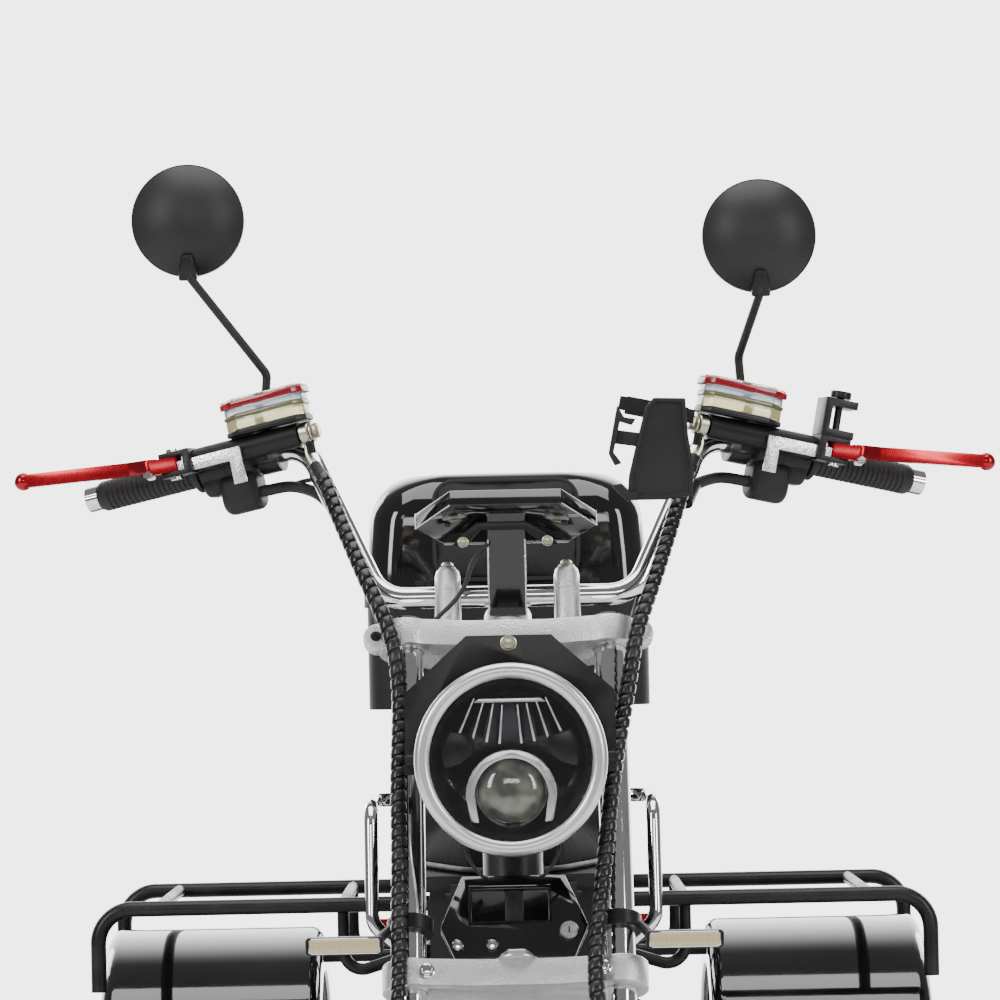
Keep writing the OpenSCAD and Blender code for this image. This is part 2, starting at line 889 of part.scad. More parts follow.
module case_base() {
    floor_t = case_wall;
    color("#1f2021") {
        both_sides() {
            lid_knuckle(knuckle_x + knuckle_w / 2 + 0.5, case_split_z - 14, lid_hinge_z - 1,
                        case_split_z - 14, 1);
            translate([knuckle_x + knuckle_w / 2 + 0.5, lid_hinge_y, lid_hinge_z])
                rotate([0, 90, 0])
                    cylinder(h = 2 * knuckle_w, d = lid_pin_d, center = true);
        }
        translate([0, (case_y0 + case_y1) / 2, case_split_z - case_base_h])
            difference() {
                union() {
                    linear_extrude(case_base_h - seat_gap)
                        round_rect(case_w - 2 * case_wall, case_len, 40);
                    translate([0, 0, case_base_h - 16])
                        linear_extrude(16 - seat_gap)
                            round_rect(case_w, case_len, 44);
                    translate([0, 0, -8])
                        linear_extrude(10)
                            round_rect(case_w - 90, case_len - 80, 20);
                }
                translate([0, 0, floor_t])
                    linear_extrude(case_base_h)
                        round_rect(case_w - 4 * case_wall, case_len - 2 * case_wall, 36);
            }
    }
}

lid_hinge_y = case_y0 - 6;
lid_hinge_z = case_split_z + 4;
lid_pin_d = 5;
knuckle_d = 10;
knuckle_x = 112;
knuckle_w = 14;

// Half of a hinge on the front wall of the top case: a knuckle round the pin and a leaf that reaches back
module lid_knuckle(x, z_from, z_to, root_z, bore) {
    difference() {
        union() {
            translate([x, lid_hinge_y, lid_hinge_z])
                rotate([0, 90, 0])
                    cylinder(h = knuckle_w, d = knuckle_d, center = true);
            translate([x - knuckle_w / 2, lid_hinge_y, z_from])
                cube([knuckle_w, case_y0 - lid_hinge_y - seat_gap, z_to - z_from]);
            translate([x - knuckle_w / 2, lid_hinge_y + 2, root_z])
                cube([knuckle_w, case_y0 - lid_hinge_y, 12]);
        }
        translate([x, lid_hinge_y, lid_hinge_z])
            rotate([0, 90, 0])
                cylinder(h = knuckle_w + 2, d = bore, center = true);
    }
}

// Lid of the top case, a hollow shell that steps in and tapers towards its crown
module case_lid() {
    mid_y = (case_y0 + case_y1) / 2;
    steps = [
        // height from, height to, width, length, corner
        [0, 96, case_w - 8, case_len, 42],
        [96, 126, case_w - 30, case_len - 24, 46],
        [126, lid_h, case_w - 62, case_len - 56, 50]
    ];
    color("#0b0b0c") {
        both_sides()
            lid_knuckle(knuckle_x - knuckle_w / 2 - 0.5, lid_hinge_z + 1, lid_hinge_z + 16,
                        lid_hinge_z + 3, lid_pin_d + 2 * seat_gap);
        translate([0, mid_y, case_split_z])
            difference() {
                for (s = steps)
                    translate([0, 0, s[0]])
                        linear_extrude(s[1] - s[0])
                            round_rect(s[2], s[3], s[4]);
                for (s = steps)
                    translate([0, 0, s[0] - case_wall - 1])
                        linear_extrude(s[1] - s[0] + 1)
                            round_rect(s[2] - 2 * case_wall, s[3] - 2 * case_wall, s[4] - case_wall);
            }
    }
}

module backrest_pad() {
    h = 126;
    t = 44;
    color("#8b8d8f")
        translate([0, case_y0 - seat_gap, case_split_z + 12 + h / 2])
            rotate([90, 0, 0])
                linear_extrude(t)
                    round_rect(backrest_w, h, 26);
}

module tail_lamps() {
    color("#a01414")
        both_sides()
            translate([90, rail_end_y + seat_gap, rear_rail_z - 17])
                cube([80, 22, 34]);
}

module clamp_outline(lead) {
    difference() {
        union() {
            both_sides()
                translate([leg_spacing / 2, 0])
                    circle(d = stanchion_d + 24);
            translate([0, fork_offset])
                circle(d = stem_d + 34);
            polygon([
                [-leg_spacing / 2, -stanchion_d / 2 - 10],
                [-40, -stanchion_d / 2 - lead],
                [40, -stanchion_d / 2 - lead],
                [leg_spacing / 2, -stanchion_d / 2 - 10],
                [leg_spacing / 2, stanchion_d / 2 + 10],
                [30, fork_offset + 14],
                [-30, fork_offset + 14],
                [-leg_spacing / 2, stanchion_d / 2 + 10]
            ]);
        }
        both_sides()
            translate([leg_spacing / 2, 0])
                circle(d = stanchion_d + 2 * seat_gap);
    }
}

module lower_clamp() {
    color("#9a9c9e")
        fork_frame() {
            translate([0, 0, lower_clamp_up - clamp_t / 2])
                linear_extrude(clamp_t)
                    clamp_outline(4);
            translate([0, fork_offset, lower_clamp_up])
                cylinder(h = upper_clamp_up + clamp_t / 2 + 8 - lower_clamp_up, d = stem_d);
            translate([0, -stanchion_d / 2 + 14, lower_clamp_up + clamp_t / 2 - 1])
                cylinder(h = nut_h + 1, d = 30, $fn = 6);
        }
}

// Upper clamp with its stem cap and the two cast risers that hold the handlebar
module upper_clamp() {
    bar_l = bar_up - upper_clamp_up;
    bar_u = fork_offset - bar_lead;
    riser_w = 26;
    color("#a2a4a6")
        fork_frame()
            translate([0, 0, upper_clamp_up]) {
                difference() {
                    translate([0, 0, -clamp_t / 2])
                        linear_extrude(clamp_t)
                            clamp_outline(2);
                    translate([0, fork_offset, -clamp_t])
                        cylinder(h = 2 * clamp_t, d = stem_d + 2 * seat_gap);
                }
                difference() {
                    for (s = [-1, 1])
                        translate([s * riser_spacing / 2 - riser_w / 2, bar_u, 0]) {
                            translate([0, -22, clamp_t / 2 - 1])
                                cube([riser_w, 44, bar_l - clamp_t / 2 + 1]);
                            translate([0, 0, bar_l])
                                rotate([0, 90, 0])
                                    cylinder(h = riser_w, d = 44);
                        }
                    translate([-100, bar_u, bar_l])
                        rotate([0, 90, 0])
                            cylinder(h = 200, d = bar_d + 2 * seat_gap);
                }
                difference() {
                    translate([0, fork_offset, clamp_t / 2 - 0.5])
                        cylinder(h = 24, d = 48);
                    translate([0, fork_offset, 0])
                        cylinder(h = clamp_t / 2 + 8 + seat_gap, d = stem_d + 2 * seat_gap);
                }
            }
}

module stanchions() {
    color("#d5d7d9")
        fork_frame()
            both_sides()
                translate([leg_spacing / 2, 0, slider_len - 40])
                    cylinder(h = upper_clamp_up + clamp_t / 2 + 8 - slider_len + 40, d = stanchion_d);
}

module sliders() {
    color("#1c1c1d")
        fork_frame()
            both_sides()
                difference() {
                    union() {
                        translate([leg_spacing / 2, 0, -26])
                            cylinder(h = slider_len + 26, d = slider_d);
                        translate([leg_spacing / 2, 0, slider_len - 18])
                            cylinder(h = 18, d = slider_d + 6);
                        translate([leg_spacing / 2 - slider_d / 2, 0, 0])
                            rotate([0, 90, 0])
                                cylinder(h = slider_d, d = 44);
                    }
                    translate([leg_spacing / 2, 0, slider_len - 40 - seat_gap])
                        cylinder(h = 60, d = stanchion_d + 2 * seat_gap);
                    translate([leg_spacing / 2 - slider_d, 0, 0])
                        rotate([0, 90, 0])
                            cylinder(h = 2 * slider_d, d = front_axle_d + 2 * seat_gap);
                }
}

module front_axle() {
    half = leg_spacing / 2 + slider_d / 2 + seat_gap;
    inner = front_disc_x + disc_t + seat_gap;
    color("#b4b6b8")
        wheel_frame(0, front_y, axle_z) {
            cylinder(h = 2 * half + 24, d = front_axle_d, center = true);
            for (s = [-1, 1]) {
                translate([0, 0, s * (half + 6)])
                    cylinder(h = 12, d = 27, center = true, $fn = 6);
                translate([0, 0, s * (inner + leg_spacing / 2 - slider_d / 2 - seat_gap) / 2])
                    cylinder(h = leg_spacing / 2 - slider_d / 2 - seat_gap - inner, d = 26, center = true);
            }
        }
}

fender_gap = 14;
fender_from = 20;
fender_to = 158;

// Front fender between the fork legs, on two flat stays
module front_fender() {
    r = front_tyre_d / 2 + fender_gap + fender_t;
    w = 2 * (front_tyre_w / 2 + run_gap + fender_t);
    color("#0c0c0d") {
        translate([0, front_y, axle_z])
            rotate([90, 0, 90])
                fender_arch(r, w, 40, fender_t, fender_from, fender_to);
        fork_frame()
            both_sides() {
                translate([w / 2 - 1, -15, slider_len - 62])
                    cube([leg_spacing / 2 - slider_d / 2 - seat_gap - w / 2 + 1, 30, 44]);
            }
    }
}

// Brake callipers behind the fork legs, each straddling its disc
module front_callipers() {
    lean = 50;
    inner_r = front_disc_d / 2 - 30;
    outer_r = front_disc_d / 2 + 14;
    half_l = 26;
    color("#a8842a")
        fork_frame()
            both_sides()
                difference() {
                    union() {
                        rotate([-lean, 0, 0])
                            translate([front_disc_x - 14, -half_l, inner_r])
                                cube([44, 2 * half_l, outer_r - inner_r]);
                        translate([front_disc_x + 12, slider_d / 2 + seat_gap, 50])
                            cube([32, 24, 34]);
                    }
                    rotate([-lean, 0, 0])
                        translate([front_disc_x - disc_t / 2 - run_gap, -half_l - 60, inner_r - 40])
                            cube([disc_t + 2 * run_gap, 2 * half_l + 120, 40 + outer_r - inner_r - 8]);
                }
}

// Tall bent handlebar with an end weight past each grip
module handlebar() {
    half = [bar_knee_pt, bar_top_pt, bar_end_pt];
    left_half = [for (i = [2:-1:0]) [-half[i][0], half[i][1], half[i][2]]];
    color("#c3c5c8") {
        pipe(concat(left_half, half), bar_d, bar_bend);
        both_sides()
            grip_frame()
                translate([grip_line - end_weight_len + seat_gap, 0, 0])
                    rotate([0, 90, 0])
                        cylinder(h = end_weight_len, d = bar_d + 5);
    }
}

module grips() {
    color("#1a1a1b")
        both_sides()
            grip_frame()
                difference() {
                    union() {
                        translate([grip_start, 0, 0])
                            rotate([0, 90, 0])
                                cylinder(h = grip_len, d = grip_d);
                        translate([grip_start, 0, 0])
                            rotate([0, 90, 0])
                                cylinder(h = 6, d = grip_d + 12);
                    }
                    translate([grip_start - 5, 0, 0])
                        rotate([0, 90, 0])
                            cylinder(h = grip_len + 10, d = bar_d + 2 * seat_gap);
                }
}

master_y = -40;
master_z = 8;
clamp_s = 40;
lever_s = 128;

// Brake master cylinders with their bar clamps, mirror bosses and lever brackets
module brake_masters() {
    color("#1b1b1c")
        both_sides()
            grip_frame() {
                difference() {
                    union() {
                        translate([clamp_s - 11, 0, 0])
                            rotate([0, 90, 0])
                                cylinder(h = 22, d = bar_d + 18);
                        translate([clamp_s - 11, master_y, -10])
                            cube([22, -master_y, 26]);
                        translate([clamp_s, 0, 0])
                            cylinder(h = 28, d = 17);
                    }
                    translate([clamp_s - 20, 0, 0])
                        rotate([0, 90, 0])
                            cylinder(h = 40, d = bar_d + 2 * seat_gap);
                    translate([clamp_s, 0, 14])
                        cylinder(h = 20, d = mirror_stem_d + 2 * seat_gap);
                }
                translate([-12, master_y, master_z])
                    rotate([0, 90, 0])
                        cylinder(h = lever_s - 14 + 12, d = 25);
                translate([-26, master_y, master_z])
                    rotate([0, 90, 0])
                        cylinder(h = 16, d = 15);
                translate([-20, master_y, master_z - 22])
                    cylinder(h = 22, d = 10);
                translate([lever_s - 22, master_y - 22, master_z - 13])
                    cube([8, 34, 26]);
                for (z = [-13, 8])
                    translate([lever_s - 16, master_y - 22, master_z + z])
                        cube([28, 22, 5]);
            }
}

// Clear reservoirs with a pointed end and a lid
module reservoirs() {
    color("#c6bf8e")
        both_sides()
            grip_frame()
                translate([-22, master_y, master_z + 12.5 + seat_gap]) {
                    linear_extrude(30)
                        polygon([
                            [4, -20], [70, -20], [88, -6], [88, 8],
                            [70, 20], [4, 20], [-4, 10], [-4, -10]
                        ]);
                    translate([0, 0, 30])
                        linear_extrude(8)
                            polygon([
                                [2, -22], [72, -22], [91, -7], [91, 9],
                                [72, 22], [2, 22], [-6, 11], [-6, -11]
                            ]);
                }
}

module levers() {
    t = 14;
    tip = [168, -12];
    lift = 7;
    color("#b3201f")
        both_sides()
            grip_frame()
                translate([lever_s, master_y - 12, master_z]) {
                    difference() {
                        translate([0, 0, -8 + seat_gap])
                            linear_extrude(16 - 2 * seat_gap)
                                link2d([0, 0], [22, -12], 18);
                        translate([0, 0, -20])
                            cylinder(h = 40, d = 6.4);
                    }
                    rotate([0, -lift, 0])
                        translate([0, 0, -t / 2]) {
                            linear_extrude(t) {
                                link2d([22, -12], [44, -4], 15);
                                link2d([44, -4], tip, 13);
                            }
                            translate([tip[0], tip[1], t / 2])
                                sphere(d = 19);
                        }
                }
}

module switch_housings() {
    s0 = clamp_s + 11 + seat_gap + 3;
    s1 = grip_start - 1;
    color("#18181a")
        both_sides()
            grip_frame()
                difference() {
                    union() {
                        translate([s0, -24, -54])
                            cube([s1 - s0, 44, 70]);
                        translate([s0 + 8, 18, -44])
                            cube([16, 10, 12]);
                        translate([s0 + 30, 18, -30])
                            cube([14, 8, 14]);
                    }
                    translate([s0 - 5, 0, 0])
                        rotate([0, 90, 0])
                            cylinder(h = 120, d = bar_d + 2 * seat_gap);
                }
}

// Mirrors, one row a side: side, lift of the stem, reach outward, reach forward, climb, head above the stem
mirror_rows = [
    [-1, 54, 80, 12, 105, 58],
    [1, 62, 22, 60, 65, 58]
];
grip_dir = unit(bar_end_pt - bar_top_pt);
grip_up = unit([0, 0, 1] - grip_dir * grip_dir[2]);

function mirror_base(side) =
    let (p = bar_top_pt + grip_dir * clamp_s + grip_up * 15)
    [side * p[0], p[1], p[2]];

function mirror_head(row) =
    mirror_base(row[0]) + [row[0] * row[2], -row[3] + 14, 15 + row[1] + row[4] + row[5]];

module mirrors() {
    band = 9;
    color("#232425")
        for (row = mirror_rows) {
            base = mirror_base(row[0]);
            head = mirror_head(row);
            knee = base + [0, 0, 15 + row[1]];
            top = knee + [row[0] * row[2], -row[3], row[4]];
            in_boss = base + 22 * [row[0] * grip_up[0], grip_up[1], grip_up[2]];
            pipe([base, in_boss, knee, top, top + [0, 0, row[5] - 30]], mirror_stem_d, 12);
            difference() {
                union() {
                    intersection() {
                        translate(head + [0, mirror_dome_r - 28, 0])
                            sphere(r = mirror_dome_r, $fn = 128);
                        translate(head + [0, 0, 0])
                            rotate([90, 0, 0])
                                cylinder(h = 60, d = mirror_d, $fn = 96);
                    }
                    translate(head + [0, band, 0])
                        rotate([90, 0, 0])
                            cylinder(h = band + 1, d = mirror_d, $fn = 96);
                }
                translate(head + [0, band + 1, 0])
                    rotate([90, 0, 0])
                        cylinder(h = 5, d = mirror_d - 8, $fn = 96);
            }
        }
}

module mirror_glass() {
    color("#dfe4e8")
        for (row = mirror_rows)
            translate(mirror_head(row) + [0, 9 - 0.5, 0])
                rotate([90, 0, 0])
                    cylinder(h = 3, d = mirror_d - 8 - 2 * seat_gap, $fn = 96);
}

// Flat six-sided display over the risers, on an upright plate
module display() {
    tilt = 30;
    plate_t = 4;
    y = bar_mid_pt[1] - 2;
    foot_z = bar_mid_pt[2] - 20;
    color("#101011") {
        translate([0, y, display_z])
            rotate([-tilt, 0, 0])
                translate([0, 0, -display_t / 2])
                    linear_extrude(display_t)
                        polygon([
                            [-display_w / 2, 6],
                            [-display_w / 2 + 36, -display_l / 2],
                            [display_w / 2 - 36, -display_l / 2],
                            [display_w / 2, 6],
                            [display_w / 2 - 30, display_l / 2],
                            [-display_w / 2 + 30, display_l / 2]
                        ]);
        translate([-19, y - 24, foot_z])
            cube([38, plate_t, display_z + 10 - foot_z]);
        translate([-19, y - 22, bar_mid_pt[2] - 10])
            cube([38, 22 - bar_d / 2 + 2 - seat_gap, 20]);
    }
}

// Phone holder with four claws, on an arm from the left upright of the handlebar
module phone_holder() {
    at = bar_knee_pt + (bar_top_pt - bar_knee_pt) * 0.66;
    along = unit(bar_top_pt - bar_knee_pt);
    reach = [-33, -88, 40];
    color("#151516") {
        difference() {
            union() {
                rod(at - along * 11, at + along * 11, bar_d + 16);
                rod(at, at + reach, 14);
            }
            rod(at - along * 30, at + along * 30, bar_d + 2 * seat_gap);
        }
        translate(at + reach)
            rotate([-8, 12, 0]) {
                translate([-32, -8, -50])
                    cube([64, 12, 100]);
                for (x = [-1, 1], z = [-1, 1])
                    translate([x * 34 - 5, -22, z * 42 - 7])
                        cube([10, 26, 14]);
            }
    }
}

// Small screw clamp that stands on the left grip's bracket
module bar_clamp() {
    color("#171718")
        grip_frame()
            translate([lever_s - 22, master_y - 22, master_z + 13 + seat_gap]) {
                cube([36, 26, 8]);
                cube([8, 26, 40]);
                translate([0, 0, 32])
                    cube([36, 26, 8]);
                translate([20, 13, 4])
                    cylinder(h = 44, d = 8);
                translate([20, 13, 42])
                    cylinder(h = 7, d = 22);
            }
}

lamp_y = front_y + lamp_back;
shell_r = lamp_d / 2 - 5;

// Black plate with two arms that carry the headlight at its sides
module headlight_bracket() {
    arm_t = 4;
    y = lamp_y + 34;
    top_z = lamp_z + 122;
    clamp_front = fork_pt(0, -stanchion_d / 2 - 2 - seat_gap, upper_clamp_up - clamp_t / 2);
    color("#111112") {
        translate([0, y + arm_t, 0])
            rotate([90, 0, 0])
                linear_extrude(arm_t)
                    difference() {
                        polygon([
                            [-42, top_z],
                            [-lamp_d / 2 - 9, lamp_z + 66],
                            [-lamp_d / 2 - 9, lamp_z - 14],
                            [lamp_d / 2 + 9, lamp_z - 14],
                            [lamp_d / 2 + 9, lamp_z + 66],
                            [42, top_z]
                        ]);
                        translate([0, lamp_z])
                            circle(r = shell_r + seat_gap + 1, $fn = 96);
                        translate([-lamp_d, lamp_z - 60])
                            square([2 * lamp_d, 46]);
                    }
        translate([-34, y, top_z - arm_t - 6])
            cube([68, clamp_front[1] - y, arm_t]);
        translate([-34, clamp_front[1] - arm_t, top_z - 28])
            cube([68, arm_t, 26]);
        for (s = [-1, 1])
            translate([s * (shell_r + 4), y + arm_t, lamp_z])
                rotate([0, 90, 0])
                    cylinder(h = 18, d = 14, center = true);
    }
}

module headlight_shell() {
    depth = 84;
    color("#131314")
        translate([0, lamp_y, lamp_z])
            rotate([-90, 0, 0])
                difference() {
                    intersection() {
                        sphere(r = shell_r, $fn = 128);
                        translate([0, 0, 10])
                            cylinder(h = depth - 10, r = shell_r);
                    }
                    intersection() {
                        sphere(r = shell_r - lamp_wall, $fn = 128);
                        translate([0, 0, -1])
                            cylinder(h = depth - lamp_wall + 1, r = shell_r);
                    }
                }
}

module headlight_ring() {
    color("#b7b9bb")
        translate([0, lamp_y, lamp_z])
            rotate([-90, 0, 0])
                rotate_extrude($fn = 128)
                    difference() {
                        union() {
                            translate([lamp_d / 2 - 8, 0])
                                circle(r = 8, $fn = 48);
                            translate([lamp_d / 2 - 14, 0])
                                square([14, 10 - seat_gap]);
                        }
                        translate([0, -4])
                            square([lamp_d / 2 - 12, 30]);
                        translate([lamp_d / 2 - 20, -20])
                            square([5, 30]);
                    }
}

// Bright bowl with a horseshoe arch, upright vanes and the projector
module headlight_reflector() {
    bowl_z = 12;
    bowl_r = sqrt(pow(shell_r - lamp_wall - seat_gap, 2) - pow(bowl_z, 2));
    color("#cfd2d4")
        translate([0, lamp_y, lamp_z])
            rotate([-90, 0, 0]) {
                difference() {
                    translate([0, 0, bowl_z])
                        cylinder(h = 40, r1 = bowl_r, r2 = 46, $fn = 96);
                    translate([0, 0, bowl_z - 1])
                        cylinder(h = 39, r1 = bowl_r - 2, r2 = 44, $fn = 96);
                }
                for (k = [0:vane_count - 1])
                    rotate(180 + 30 + k * 120 / (vane_count - 1))
                        translate([50, -2, 16])
                            cube([20, 4, 32]);
                translate([0, 26, 14])
                    cylinder(h = 38, d = 66);
            }
}

module headlight_lens() {
    color("#e8eef2")
        translate([0, lamp_y, lamp_z])
            rotate([-90, 0, 0])
                translate([0, 0, -4 + seat_gap])
                    cylinder(h = 3, d = lamp_d - 24 - 2 * seat_gap, $fn = 96);
}

signal_z = 640;

// Slim turn signals on stalks from the fork legs
module turn_signals() {
    y = front_y + (signal_z - axle_z) * tan(rake) - 46;
    clamp_l = (signal_z - axle_z) / cos(rake) + 14;
    color("#d7c9a0")
        both_sides() {
            translate([128, y - 9, signal_z - 9])
                cube([76, 18, 18]);
            rod(fork_pt(leg_spacing / 2 + stanchion_d / 2 + 5.5, 0, clamp_l), [136, y, signal_z], 10);
            fork_frame()
                translate([leg_spacing / 2, 0, clamp_l])
                    difference() {
                        cylinder(h = 16, d = stanchion_d + 14, center = true);
                        cylinder(h = 20, d = stanchion_d + 2 * seat_gap, center = true);
                    }
        }
}

// Ring of points round a route
function loom_ring(c, t, d, n) =
    let (a = unit(cross(t, [0, 1, 0])), b = cross(t, a))
    [for (k = [0:n - 1]) c + d / 2 * (cos(360 * k / n) * a + sin(360 * k / n) * b)];

// Smooth curve through hand-set points, with m steps between each two
function curve(p, m) = [
    for (i = [0:len(p) - 2])
        for (k = [0:m - 1])
            let (t = k / m)
            let (p0 = p[max(i - 1, 0)], p1 = p[i], p2 = p[i + 1], p3 = p[min(i + 2, len(p) - 1)])
            0.5 * (2 * p1 + (p2 - p0) * t + (2 * p0 - 5 * p1 + 4 * p2 - p3) * t * t
                + (3 * p1 - p0 - 3 * p2 + p3) * t * t * t),
    p[len(p) - 1]
];

module swept_tube(route, d, n) {
    m = len(route);
    tangent = [for (i = [0:m - 1]) unit(route[min(i + 1, m - 1)] - route[max(i - 1, 0)])];
    pts = [for (i = [0:m - 1]) each loom_ring(route[i], tangent[i], d, n)];
    body = [
        for (i = [0:m - 2])
            for (k = [0:n - 1])
                let (p = i * n + k, q = i * n + (k + 1) % n)
                each [[p, p + n, q + n], [p, q + n, q]]
    ];
    caps = [
        [for (k = [0:n - 1]) k],
        [for (k = [n - 1:-1:0]) (m - 1) * n + k]
    ];
    polyhedron(points = pts, faces = concat(body, caps), convexity = 8);
}

// Routes of the two brake hoses from the handlebar down to the callipers: x, behind the front axle, height
loom_left = [
    [196, 432, 1118], [184, 412, 1096], [168, 380, 1056], [144, 336, 1000], [118, 296, 940],
    [110, 278, 880], [112, 241, 800], [112, 203, 720], [113, 166, 650], [113, 138, 604],
    [116, 118, 566], [126, 96, 520], [134, 86, 470], [134.4, 84, 420], [124, 94, 360],
    [98, 88, 322], [85, 84, 303], [84, 88, 286]
];
loom_right = [
    [196, 432, 1118], [186, 410, 1096], [172, 378, 1056], [152, 336, 1000], [130, 298, 940],
    [118, 279, 880], [102, 240, 800], [91, 202, 720], [82, 164, 650], [78, 136, 604],
    [84, 114, 566], [108, 86, 520], [131, 78, 470], [134.2, 84, 420], [124, 94, 360],
    [98, 88, 322], [85, 84, 303], [84, 88, 286]
];
loom_d = 14;
loom_top_z = 1118;
loom_at_leg_z = 880;
loom_leg_x = 102.5;

// The rows are set for legs at loom_leg_x: below loom_at_leg_z the hose moves with the legs
function with_leg(side, p) =
    let (share = min(1, (loom_top_z - p[2]) / (loom_top_z - loom_at_leg_z)))
    [side * (p[0] + share * (leg_spacing / 2 - loom_leg_x)), front_y + p[1], p[2]];

module brake_looms() {
    color("#17181a")
        for (row = [[-1, loom_left], [1, loom_right]])
            swept_tube(curve([for (p = row[1]) with_leg(row[0], p)], 3), loom_d, 8);
}

// Plate under the saddle, with two ears on the hinge pin
module saddle_pan() {
    y0 = hinge_y + 14;
    ear = 16;
    color("#1a1a1b")
        difference() {
            union() {
                translate([-saddle_w / 2 + 40, y0, pan_z - 14])
                    cube([saddle_w - 80, saddle_len - 60, 14 - seat_gap]);
                for (s = [-1, 1])
                    translate([s * (tongue_w / 2 + run_gap + ear / 2) - ear / 2, hinge_y - 9, hinge_z - 9])
                        cube([ear, 34, pan_z - 14 - hinge_z + 14]);
            }
            translate([-saddle_w, hinge_y, hinge_z])
                rotate([0, 90, 0])
                    cylinder(h = 2 * saddle_w, d = hinge_pin_d + 2 * seat_gap);
            translate([-saddle_w, hinge_y - 10, pan_z - seat_gap])
                cube([2 * saddle_w, 200, 40]);
        }
}

// Upright post with a bevelled top edge, to stretch the saddle over
module saddle_post(y, d, h) {
    bevel = 16;
    translate([0, y, 0]) {
        cylinder(h = h - bevel, d = d, $fn = 32);
        cylinder(h = h, d = d - 2 * bevel, $fn = 32);
    }
}

// Saddle padding: a narrow nose, a lower seat for the rider and a raised one for the passenger
module saddle_cushion() {
    nose_d = 128;
    rider_t = saddle_t - 22;
    color("#17181a")
        translate([0, hinge_y - 11, pan_z]) {
            hull() {
                saddle_post(nose_d / 2, nose_d, rider_t);
                saddle_post(230, 226, rider_t - 6);
            }
            hull() {
                saddle_post(230, 226, rider_t - 6);
                saddle_post(saddle_len - 5 - saddle_w / 2, saddle_w - 20, rider_t);
            }
            hull() {
                saddle_post(saddle_len - 5 - saddle_w / 2 - 76, saddle_w - 24, saddle_t - 4);
                saddle_post(saddle_len - 5 - saddle_w / 2, saddle_w, saddle_t);
            }
        }
}

frame();
neck_cover();
footboard();
battery_case();
battery();
swing_arm();
drive_axle();
rear_shocks();
rear_fenders();
rear_rack();
grab_rails();
case_carrier();
case_base();
tail_lamps();
lower_clamp();
upper_clamp();
stanchions();
sliders();
front_axle();
front_fender();
front_callipers();
handlebar();
grips();
brake_masters();
reservoirs();
levers();
switch_housings();
mirrors();
mirror_glass();
display();
phone_holder();
bar_clamp();
headlight_bracket();
headlight_shell();
headlight_ring();
headlight_reflector();
headlight_lens();
turn_signals();
brake_looms();
front_tyre();
front_rim();
rear_tyre_left();
rear_rim_left();
rear_tyre_right();
rear_rim_right();
saddle_pan();
saddle_cushion();
case_lid();
backrest_pad();
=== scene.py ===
# %% [markdown]
# # Electric tricycle
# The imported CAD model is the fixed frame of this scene. Everything here dresses it: finishes for the solids that
# have the right shape already, and new pieces for soft parts, wrapped hoses, treads, screws and small trim.

# %% Load the frame
import math

import bpy
from mathutils import Matrix, Vector


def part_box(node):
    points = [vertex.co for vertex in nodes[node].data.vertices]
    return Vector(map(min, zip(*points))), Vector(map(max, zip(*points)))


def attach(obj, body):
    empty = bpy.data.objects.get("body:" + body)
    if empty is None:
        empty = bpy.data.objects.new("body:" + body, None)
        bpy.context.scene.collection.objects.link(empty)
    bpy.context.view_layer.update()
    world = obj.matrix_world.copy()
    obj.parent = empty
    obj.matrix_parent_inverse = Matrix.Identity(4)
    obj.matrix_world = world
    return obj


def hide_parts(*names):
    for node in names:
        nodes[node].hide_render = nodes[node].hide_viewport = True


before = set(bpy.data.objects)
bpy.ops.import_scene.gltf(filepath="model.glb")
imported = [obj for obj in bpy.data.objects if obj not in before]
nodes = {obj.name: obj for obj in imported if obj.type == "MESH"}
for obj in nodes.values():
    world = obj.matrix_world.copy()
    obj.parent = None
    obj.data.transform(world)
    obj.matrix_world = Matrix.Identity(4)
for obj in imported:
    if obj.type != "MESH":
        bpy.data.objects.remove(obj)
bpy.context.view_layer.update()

# %% [markdown]
# The camera comes first, because every later choice is judged through it. The photograph was taken from the front,
# a little under five metres away, level with the headlight, with a long lens and a slight roll. A long focal length
# keeps the handlebar and the rear rack at nearly the same scale.

# %% Camera
CAMERA_Y, HORIZON_Z = -5.325, 0.95
FOCAL_PIXELS, PICTURE_PIXELS, SENSOR_MM = 4900, 1000, 36
PITCH_UP, ROLL, YAW = 1.45, 1.2, 0.094
camera_data = bpy.data.cameras.new("camera")
camera_data.sensor_width = SENSOR_MM
camera_data.lens = FOCAL_PIXELS * SENSOR_MM / PICTURE_PIXELS
camera_data.clip_end = 60
camera = bpy.data.objects.new("camera", camera_data)
camera.location = (0.0, CAMERA_Y, HORIZON_Z)
camera.rotation_euler = (math.radians(90 + PITCH_UP), math.radians(ROLL), math.radians(YAW))
bpy.context.scene.collection.objects.link(camera)
bpy.context.scene.camera = camera
print("lens", camera_data.lens, "mm at", tuple(camera.location))

# %% [markdown]
# The background of the photograph is white and without a shadow. The world is a lit wall behind the machine that
# darkens towards the camera, over a pale floor, and big area lamps draw the long white streaks that make chrome
# and gloss paint readable.

# %% Floor, world and lamps
def deselect():
    if bpy.context.object and bpy.context.object.mode != "OBJECT":
        bpy.ops.object.mode_set(mode="OBJECT")
    bpy.ops.object.select_all(action="DESELECT")


deselect()
bpy.ops.mesh.primitive_plane_add(size=9, location=(0, 0, 0))
floor = bpy.context.object
floor.name = "floor"

